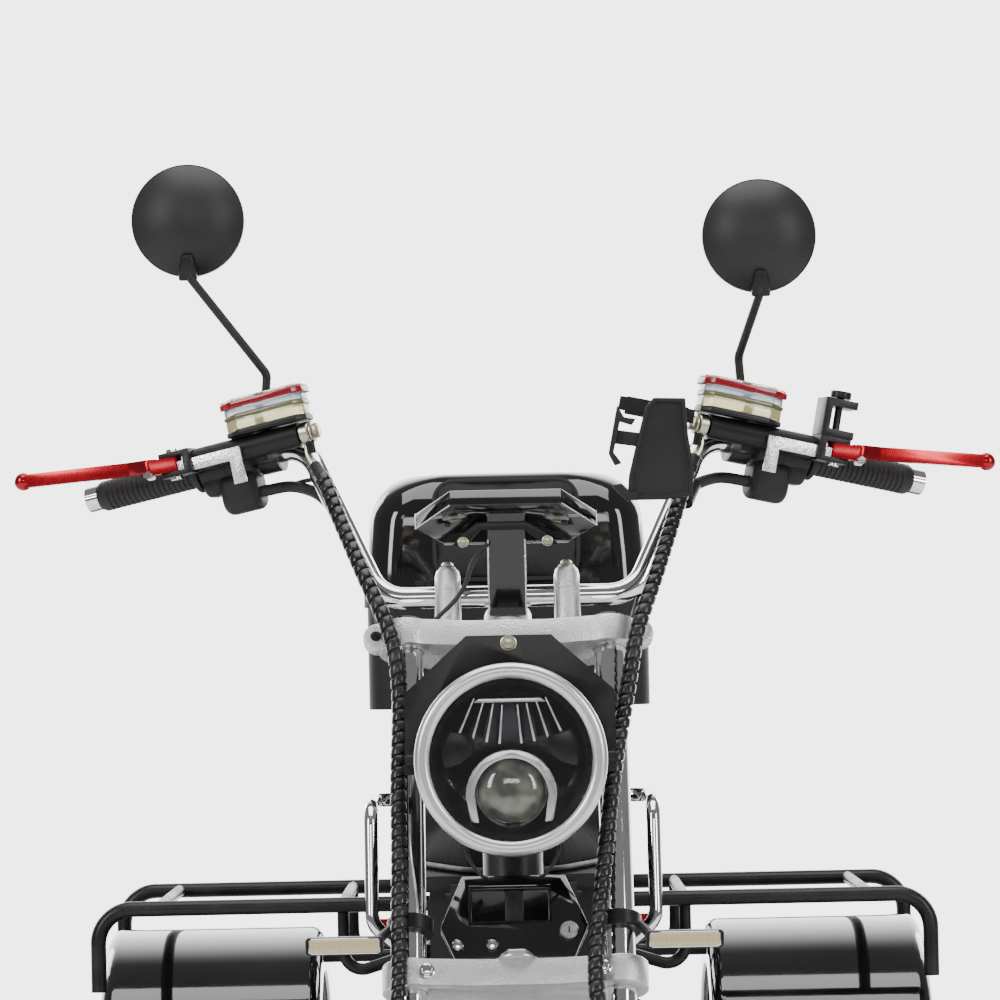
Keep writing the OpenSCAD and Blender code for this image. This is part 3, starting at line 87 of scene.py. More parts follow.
world = bpy.data.worlds.new("studio")
bpy.context.scene.world = world
world.use_nodes = True
background = world.node_tree.nodes["Background"]
background.inputs["Color"].default_value = (1.0, 1.0, 1.0, 1)
direction = world.node_tree.nodes.new("ShaderNodeTexCoord")
axes = world.node_tree.nodes.new("ShaderNodeSeparateXYZ")
lit_wall = world.node_tree.nodes.new("ShaderNodeMapRange")
lit_wall.interpolation_type = "SMOOTHSTEP"
for socket, value in (("From Min", 0.45), ("From Max", 0.93), ("To Min", 0.22), ("To Max", 4.2)):
    lit_wall.inputs[socket].default_value = value
world.node_tree.links.new(direction.outputs["Generated"], axes.inputs["Vector"])
world.node_tree.links.new(axes.outputs["Y"], lit_wall.inputs["Value"])
world.node_tree.links.new(lit_wall.outputs["Result"], background.inputs["Strength"])

SOFTBOXES = [
    # name, place, aim, width and height, watts
    ("key_left", (-3.2, -2.8, 2.6), (0, 0, 0.8), (1.0, 2.4), 95),
    ("fill_right", (3.2, -2.6, 2.2), (0, 0, 0.8), (0.9, 2.4), 75),
    ("top", (0, -0.2, 3.4), (0, 0, 0.7), (2.6, 2.2), 85),
    ("front_low", (0, -4.6, 2.3), (0, 0, 0.9), (2.4, 0.7), 34),
    ("back_left", (-2.2, 3.0, 2.2), (0, 0.4, 0.9), (1.2, 1.8), 50),
    ("back_right", (2.2, 3.0, 2.2), (0, 0.4, 0.9), (1.2, 1.8), 50),
]
for name, at, aim, size, power in SOFTBOXES:
    light = bpy.data.lights.new(name, "AREA")
    light.shape = "RECTANGLE"
    light.size, light.size_y = size
    light.energy = power
    lamp = bpy.data.objects.new(name, light)
    lamp.location = at
    lamp.rotation_euler = (Vector(aim) - Vector(at)).to_track_quat("-Z", "Y").to_euler()
    bpy.context.scene.collection.objects.link(lamp)
print(len(SOFTBOXES), "lamps")

# %% [markdown]
# Finishes are easier to read as sums than as a web of boxes. This small class wraps one socket of a node tree, so
# `0.4 + 0.2 * grain` adds the Math nodes by itself. Any other node comes from its one method `make`.


# %% Shader sums
class Wire:
    """One output socket that can be used in Python sums."""

    def __init__(self, tree, socket):
        self.tree, self.socket = tree, socket

    def make(self, kind, settings=(), out=0, **sockets):
        """Adds a node: its type, its settings, which output to hand back, and what goes in each socket."""
        node = self.tree.nodes.new(kind)
        for key, value in dict(settings).items():
            setattr(node, key, value)
        for key, value in sockets.items():
            numbered = key[0] == "i" and key[1:].isdigit()
            slot = node.inputs[int(key[1:]) if numbered else key.replace("_", " ")]
            if isinstance(value, Wire):
                self.tree.links.new(value.socket, slot)
            else:
                slot.default_value = value
        return Wire(self.tree, node.outputs[out])

    def sum(self, kind, a, b):
        return self.make("ShaderNodeMath", {"operation": kind}, i0=a, i1=b)

    def __add__(self, other):
        return self.sum("ADD", self, other)

    def __radd__(self, other):
        return self.sum("ADD", other, self)

    def __sub__(self, other):
        return self.sum("SUBTRACT", self, other)

    def __rsub__(self, other):
        return self.sum("SUBTRACT", other, self)

    def __mul__(self, other):
        return self.sum("MULTIPLY", self, other)

    def __rmul__(self, other):
        return self.sum("MULTIPLY", other, self)

    def noise(self, scale, detail=3.0, rough=0.5):
        return self.make("ShaderNodeTexNoise", Vector=self, Scale=scale, Detail=detail, Roughness=rough)

    def cells(self, scale, feature="F1", out=0):
        return self.make("ShaderNodeTexVoronoi", {"feature": feature}, out, Vector=self, Scale=scale)

    def stretch(self, x, y, z):
        return self.make("ShaderNodeMapping", Vector=self, Scale=(x, y, z))

    def between(self, low, high):
        """Maps 0..1 of this value onto low..high."""
        return low + (high - low) * self

    def ramp(self, low, high):
        """0 below low, 1 above high and a straight line between."""
        return self.make("ShaderNodeMapRange", i0=self, i1=low, i2=high)

    def mix(self, colour_a, colour_b):
        """colour_a where this value is 0 and colour_b where it is 1."""
        return self.make("ShaderNodeMix", {"data_type": "RGBA"}, 2, i0=self, i6=rgba(colour_a), i7=rgba(colour_b))


def rgba(colour):
    return colour if isinstance(colour, Wire) else (*colour, 1.0)


def finish(name, colour, rough, metal=0.0, **fixed):
    """A new material. Fixed keywords are shader sockets that are the same all over. Returns it with its coordinates."""
    material = bpy.data.materials.new(name)
    material.use_nodes = True
    tree = material.node_tree
    shader = tree.nodes["Principled BSDF"]
    shader.inputs["Base Color"].default_value = (*colour, 1.0)
    shader.inputs["Roughness"].default_value = rough
    shader.inputs["Metallic"].default_value = metal
    for key, value in fixed.items():
        shader.inputs[key.replace("_", " ")].default_value = value
    coords = Wire(tree, tree.nodes.new("ShaderNodeTexCoord").outputs["Object"])
    return material, shader, coords


def drive(shader, socket, wire):
    wire.tree.links.new(wire.socket, shader.inputs[socket])


def bump(shader, height, strength, distance):
    """Feeds a height into the shader's normal."""
    drive(shader, "Normal", height.make("ShaderNodeBump", Height=height, Strength=strength, Distance=distance))


def weather(shader, patch, rough, colours):
    """One slow pattern drives roughness and colour together, as dust and wear do."""
    drive(shader, "Roughness", patch.between(*rough))
    drive(shader, "Base Color", patch.mix(*colours))


print("shader sums ready")

# %% [markdown]
# **Paint and plastic.** Gloss black panels are nearly a mirror, so what shows is a faint orange peel and a little
# dust. Powder-coated steel is a satin black with a pebbled skin. Moulded plastic is greyer, with a fine spark-eroded
# grain. All three vary their roughness over a hand's breadth, because nothing real is evenly clean.


# %% Paint and plastic finishes
def gloss_black():
    material, shader, at = finish("gloss_black", (0.0045, 0.0045, 0.005), 0.06, Coat_Weight=0.6, Coat_Roughness=0.03)
    dust = at.noise(9, 4).ramp(0.35, 0.75)
    drive(shader, "Roughness", dust.between(0.045, 0.11) + at.noise(420, 2) * 0.02)
    drive(shader, "Base Color", dust.mix((0.004, 0.004, 0.0045), (0.009, 0.009, 0.0095)))
    bump(shader, at.noise(110, 2), 0.05, 0.0006)
    return material


def satin_steel_black():
    material, shader, at = finish("satin_black_steel", (0.012, 0.012, 0.013), 0.38, Specular_IOR_Level=0.28)
    wear = at.noise(26, 5).ramp(0.4, 0.8)
    weather(shader, wear, (0.3, 0.46), ((0.009, 0.009, 0.01), (0.022, 0.022, 0.023)))
    bump(shader, at.noise(900, 3), 0.18, 0.0004)
    return material


def moulded_black(name="moulded_black", shade=0.014, rough=0.5):
    material, shader, at = finish(name, (shade, shade, shade * 1.05), rough, Specular_IOR_Level=0.26)
    patch = at.noise(14, 4)
    weather(shader, patch, (rough - 0.08, rough + 0.1), ((shade * 0.8,) * 3, (shade * 1.5,) * 3))
    bump(shader, at.cells(1500) + at.noise(700, 2) * 0.6, 0.16, 0.0003)
    return material


GLOSS = gloss_black()
SATIN = satin_steel_black()
PLASTIC = moulded_black()
DARK_PLASTIC = moulded_black("smooth_black", 0.009, 0.34)
MIRROR_SHELL = moulded_black("mirror_shell_black", 0.017, 0.44)
print("paint and plastic finishes ready")

# %% [markdown]
# **Bare metal.** Chrome is a clean mirror with smudges. The fork clamps and risers are sand-cast aluminium, so they
# have pores and a soft grain, and the headlight ring is turned, which leaves fine rings. Anodised levers keep the
# metal's shine under a clear red dye.


# %% Metal finishes
def chrome():
    material, shader, at = finish("chrome", (0.78, 0.79, 0.8), 0.05, 1.0)
    smudge = at.noise(34, 5).ramp(0.45, 0.75)
    weather(shader, smudge, (0.035, 0.12), ((0.8, 0.81, 0.82), (0.7, 0.71, 0.72)))
    return material


def cast_alloy(name="cast_alloy", shade=0.66, rough=0.42):
    material, shader, at = finish(name, (shade,) * 3, rough, 1.0)
    stain = at.noise(40, 5).ramp(0.35, 0.8)
    pores = at.cells(520)
    weather(shader, stain, (rough - 0.06, rough + 0.16), ((shade * 1.05,) * 3,
                                                          (shade * 0.78, shade * 0.77, shade * 0.76)))
    bump(shader, pores + at.noise(260, 4) * 1.4, 0.35, 0.0007)
    return material


def turned_silver():
    material, shader, at = finish("turned_silver", (0.66, 0.67, 0.68), 0.3, 1.0)
    rings = at.stretch(1, 420, 1).noise(3.5, 2)
    weather(shader, rings, (0.26, 0.42), ((0.6, 0.61, 0.62), (0.72, 0.73, 0.74)))
    bump(shader, rings, 0.08, 0.0003)
    return material


def zinc():
    material, shader, at = finish("zinc_plate", (0.46, 0.42, 0.3), 0.32, 1.0)
    hue = at.noise(160, 4)
    weather(shader, hue, (0.24, 0.44), ((0.42, 0.43, 0.4), (0.5, 0.44, 0.27)))
    bump(shader, at.noise(900, 2), 0.1, 0.0003)
    return material


def dyed_metal(name, colour, rough=0.24):
    material, shader, at = finish(name, colour, rough, 0.85, Coat_Weight=0.3, Coat_Roughness=0.12)
    tone = at.noise(60, 4)
    weather(shader, tone, (rough - 0.05, rough + 0.1), (colour, tuple(c * 0.86 for c in colour)))
    bump(shader, at.stretch(60, 900, 900).noise(1.0, 2), 0.05, 0.0003)
    return material


CHROME = chrome()
CAST = cast_alloy()
WHEEL_ALLOY = cast_alloy("wheel_alloy", 0.5, 0.36)
MOTOR_ALLOY = cast_alloy("motor_alloy", 0.42, 0.5)
SATIN_ALLOY = cast_alloy("satin_alloy", 0.8, 0.3)
SILVER = turned_silver()
ZINC = zinc()
RED_LEVER = dyed_metal("anodised_red", (0.4, 0.006, 0.014))
SHOCK_RED = dyed_metal("shock_red", (0.4, 0.015, 0.012))
GOLD = dyed_metal("calliper_gold", (0.52, 0.33, 0.07))
print("metal finishes ready")

# %% [markdown]
# ** Rubber, leather and clear parts.** Rubber is dull with a dry bloom. The saddle cover is a grained vinyl, where a
# cell pattern gives the pebbles and a slower noise the creases; the same noise paints the vinyl darker in the dents of
# the creases and lighter on their folds, which is painted shade and light. Lenses and the fluid reservoirs are clear
# plastic, which needs transmission rather than a pale paint.


# %% Rubber, leather and clear finishes
def rubber(name="rubber", shade=0.011, rough=0.62):
    material, shader, at = finish(name, (shade,) * 3, rough, Specular_IOR_Level=0.4)
    bloom = at.noise(50, 5).ramp(0.4, 0.85)
    weather(shader, bloom, (rough - 0.08, rough + 0.14), ((shade,) * 3, (shade * 2.4,) * 3))
    bump(shader, at.noise(1100, 2), 0.14, 0.0003)
    return material


def hide(name, shade, rough, pebble=420):
    """Grained vinyl over foam, painted darker in the dents of its creases as painted shade."""
    material, shader, at = finish(name, (shade,) * 3, rough, Specular_IOR_Level=0.1, IOR=1.25)
    cells = at.cells(pebble, "DISTANCE_TO_EDGE")
    crease_and_shade = at.noise(22, 5)
    # Painted shade and light: the crease noise also darkens the colour in the crease dents and lightens it on the
    # folds.
    weather(shader, crease_and_shade, (rough - 0.06, rough + 0.1), ((shade * 0.85,) * 3, (shade * 1.25,) * 3))
    bump(shader, cells.ramp(0.0, 0.25) + crease_and_shade * 0.8, 0.3, 0.0005)
    return material


def clear(name, colour, rough=0.06, through=0.85):
    material, shader, at = finish(name, colour, rough, Transmission_Weight=through, IOR=1.46)
    drive(shader, "Roughness", at.noise(60, 3).between(rough, rough + 0.05))
    return material


def glow_lens(name, colour, lines):
    """Coloured lens over small reflectors, which show as fine upright lines."""
    material, shader, at = finish(name, colour, 0.16, Coat_Weight=1.0, Coat_Roughness=0.03)
    ridge = at.make("ShaderNodeTexWave", {"bands_direction": "X"}, 1, Vector=at, Scale=lines, Distortion=0.0)
    drive(shader, "Base Color", ridge.mix(tuple(c * 0.55 for c in colour), colour))
    bump(shader, ridge, 0.25, 0.0008)
    return material


RUBBER = rubber()
HOSE = rubber("hose_wrap", 0.013, 0.3)
TYRE = rubber("tyre_rubber", 0.013, 0.7)
SADDLE_HIDE = hide("saddle_vinyl", 0.009, 0.74)
PAD_HIDE = hide("backrest_vinyl", 0.03, 0.56)
GLASS = clear("clear_glass", (1.0, 1.0, 1.0), 0.01, 1.0)
FLUID = clear("clear_yellow", (0.8, 0.74, 0.4), 0.08, 0.6)
CLEAR_CAP = clear("clear_cap", (0.95, 0.95, 0.95), 0.05, 0.9)
RED_CLEAR = clear("clear_red", (0.36, 0.008, 0.02), 0.08, 0.35)
SIGNAL_LENS = glow_lens("signal_lens", (0.72, 0.6, 0.36), 260)
TAIL_LENS = glow_lens("tail_lens", (0.55, 0.008, 0.008), 200)
BATTERY_WRAP = moulded_black("battery_wrap", 0.05, 0.4)
print("rubber, leather and clear finishes ready")


# %% [markdown]
# **Mirror glass** is the one surface with no pattern at all except the faintest haze, or the reflection would swim.

# %% Mirror glass and the node table
def silvered():
    material, shader, at = finish("mirror_glass", (0.88, 0.9, 0.91), 0.02, 1.0)
    drive(shader, "Roughness", at.noise(20, 3).between(0.012, 0.035))
    return material


MIRROR = silvered()
NODE_FINISHES = {
    # finish: the CAD nodes that wear it
    SATIN: "frame swing_arm rear_rack case_carrier headlight_bracket headlight_shell sliders",
    GLOSS: "neck_cover rear_fenders front_fender case_lid",
    PLASTIC: "footboard battery_case case_base phone_holder bar_clamp saddle_pan switch_housings",
    DARK_PLASTIC: "display brake_masters",
    MIRROR_SHELL: "mirrors",
    CHROME: "stanchions handlebar grab_rails headlight_reflector",
    CAST: "lower_clamp upper_clamp",
    WHEEL_ALLOY: "front_rim rear_rim_left rear_rim_right front_axle",
    MOTOR_ALLOY: "drive_axle",
    SILVER: "headlight_ring",
    RED_LEVER: "levers",
    SHOCK_RED: "rear_shocks",
    GOLD: "front_callipers",
    RUBBER: "grips brake_looms saddle_cushion backrest_pad",
    TYRE: "front_tyre rear_tyre_left rear_tyre_right",
    FLUID: "reservoirs",
    SIGNAL_LENS: "turn_signals",
    TAIL_LENS: "tail_lamps",
    BATTERY_WRAP: "battery",
    GLASS: "headlight_lens",
    MIRROR: "mirror_glass",
}
dressed = 0
for paint, names in NODE_FINISHES.items():
    for node_name in names.split():
        node_mesh = nodes[node_name].data
        node_mesh.materials.clear()
        node_mesh.materials.append(paint)
        dressed += 1
print("dressed", dressed, "of", len(nodes), "nodes")

# %% Floor finish
material, shader, at = finish("pale_floor", (0.93, 0.93, 0.93), 0.6)
drive(shader, "Roughness", at.noise(2.0, 3).between(0.55, 0.7))
floor.data.materials.append(material)

# %% [markdown]
# **How new pieces are made.** A flat part starts as a circle whose corners are pulled onto an outline, and is then
# extruded. A turned part starts as a closed section that is spun about an axis. Both are what one does by hand in edit
# mode. Two frames save a lot of arithmetic: one along the raked fork and one along each grip.

# %% Helpers for new pieces
def only(piece):
    """Selects one piece and makes it active."""
    deselect()
    piece.select_set(True)
    bpy.context.view_layer.objects.active = piece
    return piece


def modify(piece, kind, **settings):
    """Adds a modifier and applies it."""
    only(piece)
    modifier = piece.modifiers.new(kind.lower(), kind)
    for key, value in settings.items():
        setattr(modifier, key, value)
    bpy.ops.object.modifier_apply(modifier=modifier.name)
    return piece


def tidy_mesh(piece, merge=1e-5):
    """Merges doubles and turns every face outwards."""
    only(piece)
    bpy.ops.object.mode_set(mode="EDIT")
    bpy.ops.mesh.select_all(action="SELECT")
    bpy.ops.mesh.remove_doubles(threshold=merge)
    bpy.ops.mesh.dissolve_degenerate(threshold=merge)
    bpy.ops.mesh.normals_make_consistent(inside=False)
    bpy.ops.object.mode_set(mode="OBJECT")
    return piece


def at_place(piece, place):
    """Puts a piece at a matrix and freezes that into its mesh."""
    piece.matrix_world = place
    only(piece)
    bpy.ops.object.transform_apply(location=True, rotation=True, scale=True)
    return piece


def mm(*points):
    """Points given in millimetres, in metres."""
    return [(x / 1000, y / 1000) for x, y in points]


def plate(outline, thickness, place=Matrix.Identity(4), bevel=0.0008, segments=2):
    """A flat part: an outline in x and y, extruded along z, with bevelled edges."""
    deselect()
    bpy.ops.mesh.primitive_circle_add(vertices=len(outline), radius=1, fill_type="NGON")
    part = bpy.context.object
    for vertex, (x, y) in zip(part.data.vertices, outline):
        vertex.co = (x, y, 0)
    bpy.ops.object.mode_set(mode="EDIT")
    bpy.ops.mesh.select_all(action="SELECT")
    bpy.ops.mesh.extrude_region_move(TRANSFORM_OT_translate={"value": (0, 0, thickness)})
    bpy.ops.object.mode_set(mode="OBJECT")
    tidy_mesh(part)
    if bevel:
        modify(part, "BEVEL", width=bevel, segments=segments, limit_method="ANGLE", angle_limit=math.radians(35))
    return at_place(part, place)


def turned(section, steps=48, place=Matrix.Identity(4)):
    """A turned part: a closed section of (radius, height) points, spun about z."""
    deselect()
    bpy.ops.mesh.primitive_circle_add(vertices=len(section), radius=1, fill_type="NOTHING")
    part = bpy.context.object
    for vertex, (radius, height) in zip(part.data.vertices, section):
        vertex.co = (max(radius, 0.0), 0, height)
    bpy.ops.object.mode_set(mode="EDIT")
    bpy.ops.mesh.select_all(action="SELECT")
    bpy.ops.mesh.spin(steps=steps, angle=math.tau, center=(0, 0, 0), axis=(0, 0, 1))
    bpy.ops.object.mode_set(mode="OBJECT")
    tidy_mesh(part)
    return at_place(part, place)


def wire(points, radius, smooth=True, closed=False, sides=3):
    """A round wire or cable through points, made as a bevelled curve and turned into a mesh."""
    curve = bpy.data.curves.new("wire", "CURVE")
    curve.dimensions = "3D"
    curve.bevel_depth = radius
    curve.bevel_resolution = sides
    curve.use_fill_caps = True
    spline = curve.splines.new("BEZIER")
    spline.bezier_points.add(len(points) - 1)
    for knot, point in zip(spline.bezier_points, points):
        knot.co = point
        knot.handle_left_type = knot.handle_right_type = "AUTO" if smooth else "VECTOR"
    spline.use_cyclic_u = closed
    cable = bpy.data.objects.new("wire", curve)
    bpy.context.scene.collection.objects.link(cable)
    only(cable)
    bpy.ops.object.convert(target="MESH")
    return bpy.context.object


def joined(parts):
    """Several parts as one piece. Each keeps its own finish."""
    deselect()
    for part in parts:
        part.select_set(True)
    bpy.context.view_layer.objects.active = parts[0]
    if len(parts) > 1:
        bpy.ops.object.join()
    return bpy.context.object


def copies(master, places):
    """Copies of one finished shape, each with its own mesh, at these matrices, as one piece."""
    made = []
    for place in places:
        twin = master.copy()
        twin.data = master.data.copy()
        bpy.context.scene.collection.objects.link(twin)
        made.append(at_place(twin, place))
        if place.determinant() < 0:
            tidy_mesh(twin, 1e-7)
    bpy.data.objects.remove(master)
    return joined(made)


def own_copy(node_name, merge=2e-6):
    """A cleaned copy of a CAD solid with its own mesh."""
    twin = nodes[node_name].copy()
    twin.data = nodes[node_name].data.copy()
    bpy.context.scene.collection.objects.link(twin)
    return tidy_mesh(twin, merge)


def edit_faces(piece, wanted):
    """Opens a piece in edit mode with only the wanted faces selected. Gives their number."""
    only(piece)
    for face in piece.data.polygons:
        face.select = wanted(face)
    for part in (*piece.data.edges, *piece.data.vertices):
        part.select = False
    chosen = sum(face.select for face in piece.data.polygons)
    bpy.ops.object.mode_set(mode="EDIT")
    bpy.ops.mesh.select_mode(type="FACE")
    return chosen


def end_edit():
    bpy.ops.mesh.select_mode(type="VERT")
    bpy.ops.object.mode_set(mode="OBJECT")


def painted(part, paint):
    part.data.materials.clear()
    part.data.materials.append(paint)
    return part


def settle(piece, name, body, smooth=32, replaces=()):
    """Names a finished piece, smooths it by angle and fixes it to its CAD body."""
    only(piece)
    piece.name = piece.data.name = name
    bpy.ops.object.shade_smooth_by_angle(angle=math.radians(smooth))
    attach(piece, body)
    if replaces:
        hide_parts(*replaces)
    print(name, len(piece.data.polygons), "faces")
    return piece


FRONT_Y = -0.69675
RAKE = math.radians(26)
FORK = Matrix.Translation((0, FRONT_Y, 0.2365)) @ Matrix.Rotation(-RAKE, 4, "X")
BAR_TOP = Vector((0.207, -0.21684, 1.1404))
along = (Vector((0.44, -0.13484, 1.0904)) - BAR_TOP).normalized()
upward = (Vector((0, 0, 1)) - along * along.z).normalized()
forward = upward.cross(along)
GRIP = Matrix.Translation(BAR_TOP) @ Matrix((along, forward, upward)).transposed().to_4x4()
MIRRORED = Matrix.Scale(-1, 4, (1, 0, 0))
BOTH_GRIPS = [GRIP, MIRRORED @ GRIP]


def move(x, y, z):
    return Matrix.Translation((x, y, z))


def turn(degrees, axis):
    return Matrix.Rotation(math.radians(degrees), 4, axis)


def at_grips(x, y, z, spin=Matrix.Identity(4)):
    """The same place in both grips' frames."""
    return [grip @ move(x, y, z) @ spin for grip in BOTH_GRIPS]


def up_fork(x, u, l):
    """A place along the raked fork: sideways, behind it and up it."""
    return FORK @ move(x, u, l)


UPRIGHT = turn(90, "X")
SIDEWAYS = turn(90, "Y")
print("frames ready, grip frame at", tuple(round(v, 3) for v in GRIP.translation))

# %% [markdown]
# **The wrapped hoses** fall from the brake levers along the fork. Each is a bundle of cables in a black spiral wrap,
# which is a flat band wound with a small gap. The band's section is wound once along a straight axis with the Screw
# modifier, and the Curve modifier then lays the whole winding along the same route as the CAD hose. A plain core
# shows between the turns.

# %% Wrapped brake hoses
HOSE_ROUTES = {
    # side: rows of x, distance behind the front axle, height, in millimetres
    -1: [(196, 432, 1118), (184, 412, 1096), (168, 380, 1056), (144, 336, 1000), (118, 296, 940),
         (110, 278, 880), (112, 241, 800), (112, 203, 720), (113, 166, 650), (113, 138, 604),
         (116, 118, 566), (126, 96, 520), (134, 86, 470), (134.4, 84, 420), (124, 94, 360),
         (98, 88, 322), (85, 84, 303), (84, 88, 286)],
    1: [(196, 432, 1118), (186, 410, 1096), (172, 378, 1056), (152, 336, 1000), (130, 298, 940),
        (118, 279, 880), (102, 240, 800), (91, 202, 720), (82, 164, 650), (78, 136, 604),
        (84, 114, 566), (108, 86, 520), (131, 78, 470), (134.2, 84, 420), (124, 94, 360),
        (98, 88, 322), (85, 84, 303), (84, 88, 286)],
}
WRAP_PITCH = 0.0125


def smooth_route(rows, side, m=4):
    """The same smooth curve through the rows that the CAD hose follows."""
    knots = [Vector((side * x, FRONT_Y * 1000 + y, z)) / 1000 for x, y, z in rows]
    route = []
    for i in range(len(knots) - 1):
        a, b, c, d = knots[max(i - 1, 0)], knots[i], knots[i + 1], knots[min(i + 2, len(knots) - 1)]
        for k in range(m):
            t = k / m
            route.append(0.5 * (2 * b + (c - a) * t + (2 * a - 5 * b + 4 * c - d) * t * t
                                + (3 * b - a - 3 * c + d) * t ** 3))
    return route + [knots[-1]]


def wound_band(length, radius, width, thick):
    """A flat band wound round the z axis."""
    deselect()
    bpy.ops.mesh.primitive_circle_add(vertices=8, radius=1, fill_type="NOTHING")
    band = bpy.context.object
    half, edge = width / 2, thick * 0.7
    section = [(radius - thick, -half), (radius - edge * 0.3, -half), (radius, -half + edge), (radius, half - edge),
               (radius - edge * 0.3, half), (radius - thick, half), (radius - thick, half * 0.4),
               (radius - thick, -half * 0.4)]
    for vertex, (r, z) in zip(band.data.vertices, section):
        vertex.co = (r, 0, z + half)
    turns = int((length - width) / WRAP_PITCH)
    return modify(band, "SCREW", angle=math.tau, screw_offset=WRAP_PITCH, iterations=turns, steps=12,
                  render_steps=12, axis="Z", use_normal_calculate=True)


hoses = []
for side, rows in HOSE_ROUTES.items():
    route = smooth_route(rows, side)
    length = sum((b - a).length for a, b in zip(route, route[1:]))
    hoses.append(painted(wire(route, 0.0062, sides=2), RUBBER))
    path = bpy.data.curves.new("hose_path", "CURVE")
    path.dimensions = "3D"
    line = path.splines.new("POLY")
    line.points.add(len(route) - 1)
    for knot, point in zip(line.points, route):
        knot.co = (*point, 1)
    guide = bpy.data.objects.new("hose_guide", path)
    bpy.context.scene.collection.objects.link(guide)
    band = wound_band(length - 0.03, 0.0083, 0.0092, 0.0022)
    for vertex in band.data.vertices:
        vertex.co.z += 0.015
    modify(band, "CURVE", object=guide, deform_axis="POS_Z")
    bpy.data.objects.remove(guide)
    hoses.append(painted(tidy_mesh(band, 1e-6), HOSE))
    print("hose", side, "is", round(length, 3), "m long")
settle(joined(hoses), "wrapped_hoses", "steering", smooth=50, replaces=("brake_looms",))

# %% [markdown]
# **Inside the headlight** a dark chrome bowl carries bright fins above and a round projector below, framed by a silver
# horseshoe. The bowl is spun from a section, so that it has a real lamp's depth. The fins are one small plate copied
# round the bowl. The mark that the photographed lamp carries here is left out.

# %% Headlight bowl, fins, horseshoe and projector
LAMP = move(0, FRONT_Y + 0.172, 0.817) @ UPRIGHT


def dark_chrome():
    material, shader, at = finish("lamp_bowl", (0.05, 0.05, 0.055), 0.12, 1.0)
    height = at.make("ShaderNodeSeparateXYZ", (), 2, Vector=at)
    # Painted reflection: a bright band is painted across the dark chrome bowl at about 0.77 to 0.8 m height, just under
    # the lamp's centre.
    lower = height.ramp(0.764, 0.776) * (1 - height.ramp(0.788, 0.806))
    drive(shader, "Base Color", lower.mix((0.03, 0.031, 0.035), (0.46, 0.46, 0.44)))
    drive(shader, "Roughness", at.noise(90, 3).between(0.08, 0.2))
    return material


def projector_glass():
    material, shader, at = finish("projector_glass", (0.16, 0.17, 0.13), 0.04, Coat_Weight=1.0, Coat_Roughness=0.02)
    cloud = at.noise(38, 2).ramp(0.35, 0.7)
    weather(shader, cloud, (0.03, 0.1), ((0.09, 0.1, 0.09), (0.34, 0.35, 0.27)))
    return material


BOWL = dark_chrome()
LAMP_BLACK = moulded_black("lamp_black", 0.004, 0.22)
PROJECTOR = projector_glass()
bowl = mm((81.5, -0.5), (83, -3), (83, -11), (78, -24), (64, -40), (42, -51), (10, -54), (0, -54), (0, -52.5),
          (10, -52.5), (41, -49.5), (62.5, -38.5), (75.5, -23), (79, -10), (79.5, -4))
lamp_parts = [painted(turned(bowl, 64, LAMP), BOWL)]
bezel = mm((82.5, 0), (82.5, -6), (76, -10), (73.5, -8.5), (76.5, -5), (80, 0))
lamp_parts.append(painted(turned(bezel, 72, LAMP), LAMP_BLACK))
fin = plate(mm((86, -0.7), (124, -1.2), (124, 1.2), (86, 0.7)), 0.02, bevel=0.0004)
fan = [LAMP @ move(0, 0.139, -0.04) @ turn(angle - 90, "Z") for angle in (-24, -17.5, -11, -5, 5, 11, 17.5, 24)]
lamp_parts.append(painted(copies(fin, fan), SILVER))
shelf = plate(mm((-36, 56), (36, 56), (30, 60), (-30, 60)), 0.012, LAMP @ move(0, 0, -0.034))
lamp_parts.append(painted(shelf, SILVER))
wing = plate(mm((36, 22), (60, 30), (70, 12), (66, -8), (50, -4), (38, 6)), 0.022,
             bevel=0.002)
lamp_parts.append(painted(copies(wing, [LAMP @ move(0, 0, -0.038), LAMP @ MIRRORED @ move(0, 0, -0.038)]), LAMP_BLACK))
outer = [(0.045 * math.cos(a), -0.035 + 0.045 * math.sin(a)) for a in [math.pi * k / 16 for k in range(17)]]
inner = [(0.036 * math.cos(a), -0.035 + 0.036 * math.sin(a)) for a in [math.pi * k / 16 for k in range(16, -1, -1)]]
arch = plate([(0.041, -0.062), *outer, (-0.041, -0.062), (-0.032, -0.062), *inner, (0.032, -0.062)], 0.014,
             LAMP @ move(0, 0, -0.028), bevel=0.0015)
lamp_parts.append(painted(arch, SILVER))


def dome(radius, rise, base, foot, steps):
    """The section of a solid dome: its crown is `rise` above `base` and it stands on `foot`."""
    angles = [math.pi / 2 * k / steps for k in range(1, steps + 1)]
    curve = [(radius * math.sin(a), base + rise * math.cos(a)) for a in angles]
    return [(0.0, base + rise), *curve, (radius, foot), (0.0, foot)]


lamp_parts.append(painted(turned(dome(0.0335, 0.018, -0.03, -0.044, 8), 56, LAMP @ move(0, -0.032, 0)), PROJECTOR))
collar = mm((36.5, -26), (36.5, -46), (33, -46), (33, -24), (35, -22))
lamp_parts.append(painted(turned(collar, 56, LAMP @ move(0, -0.032, 0)), CHROME))
flat_dome = LAMP @ move(0.001, -0.068, -0.002) @ Matrix.Diagonal((1, 0.6, 1, 1))
lamp_parts.append(painted(turned(dome(0.02, 0.012, -0.032, -0.04, 5), 32, flat_dome), LAMP_BLACK))
settle(joined(lamp_parts), "headlight_inside", "steering", smooth=28, replaces=("headlight_reflector",))
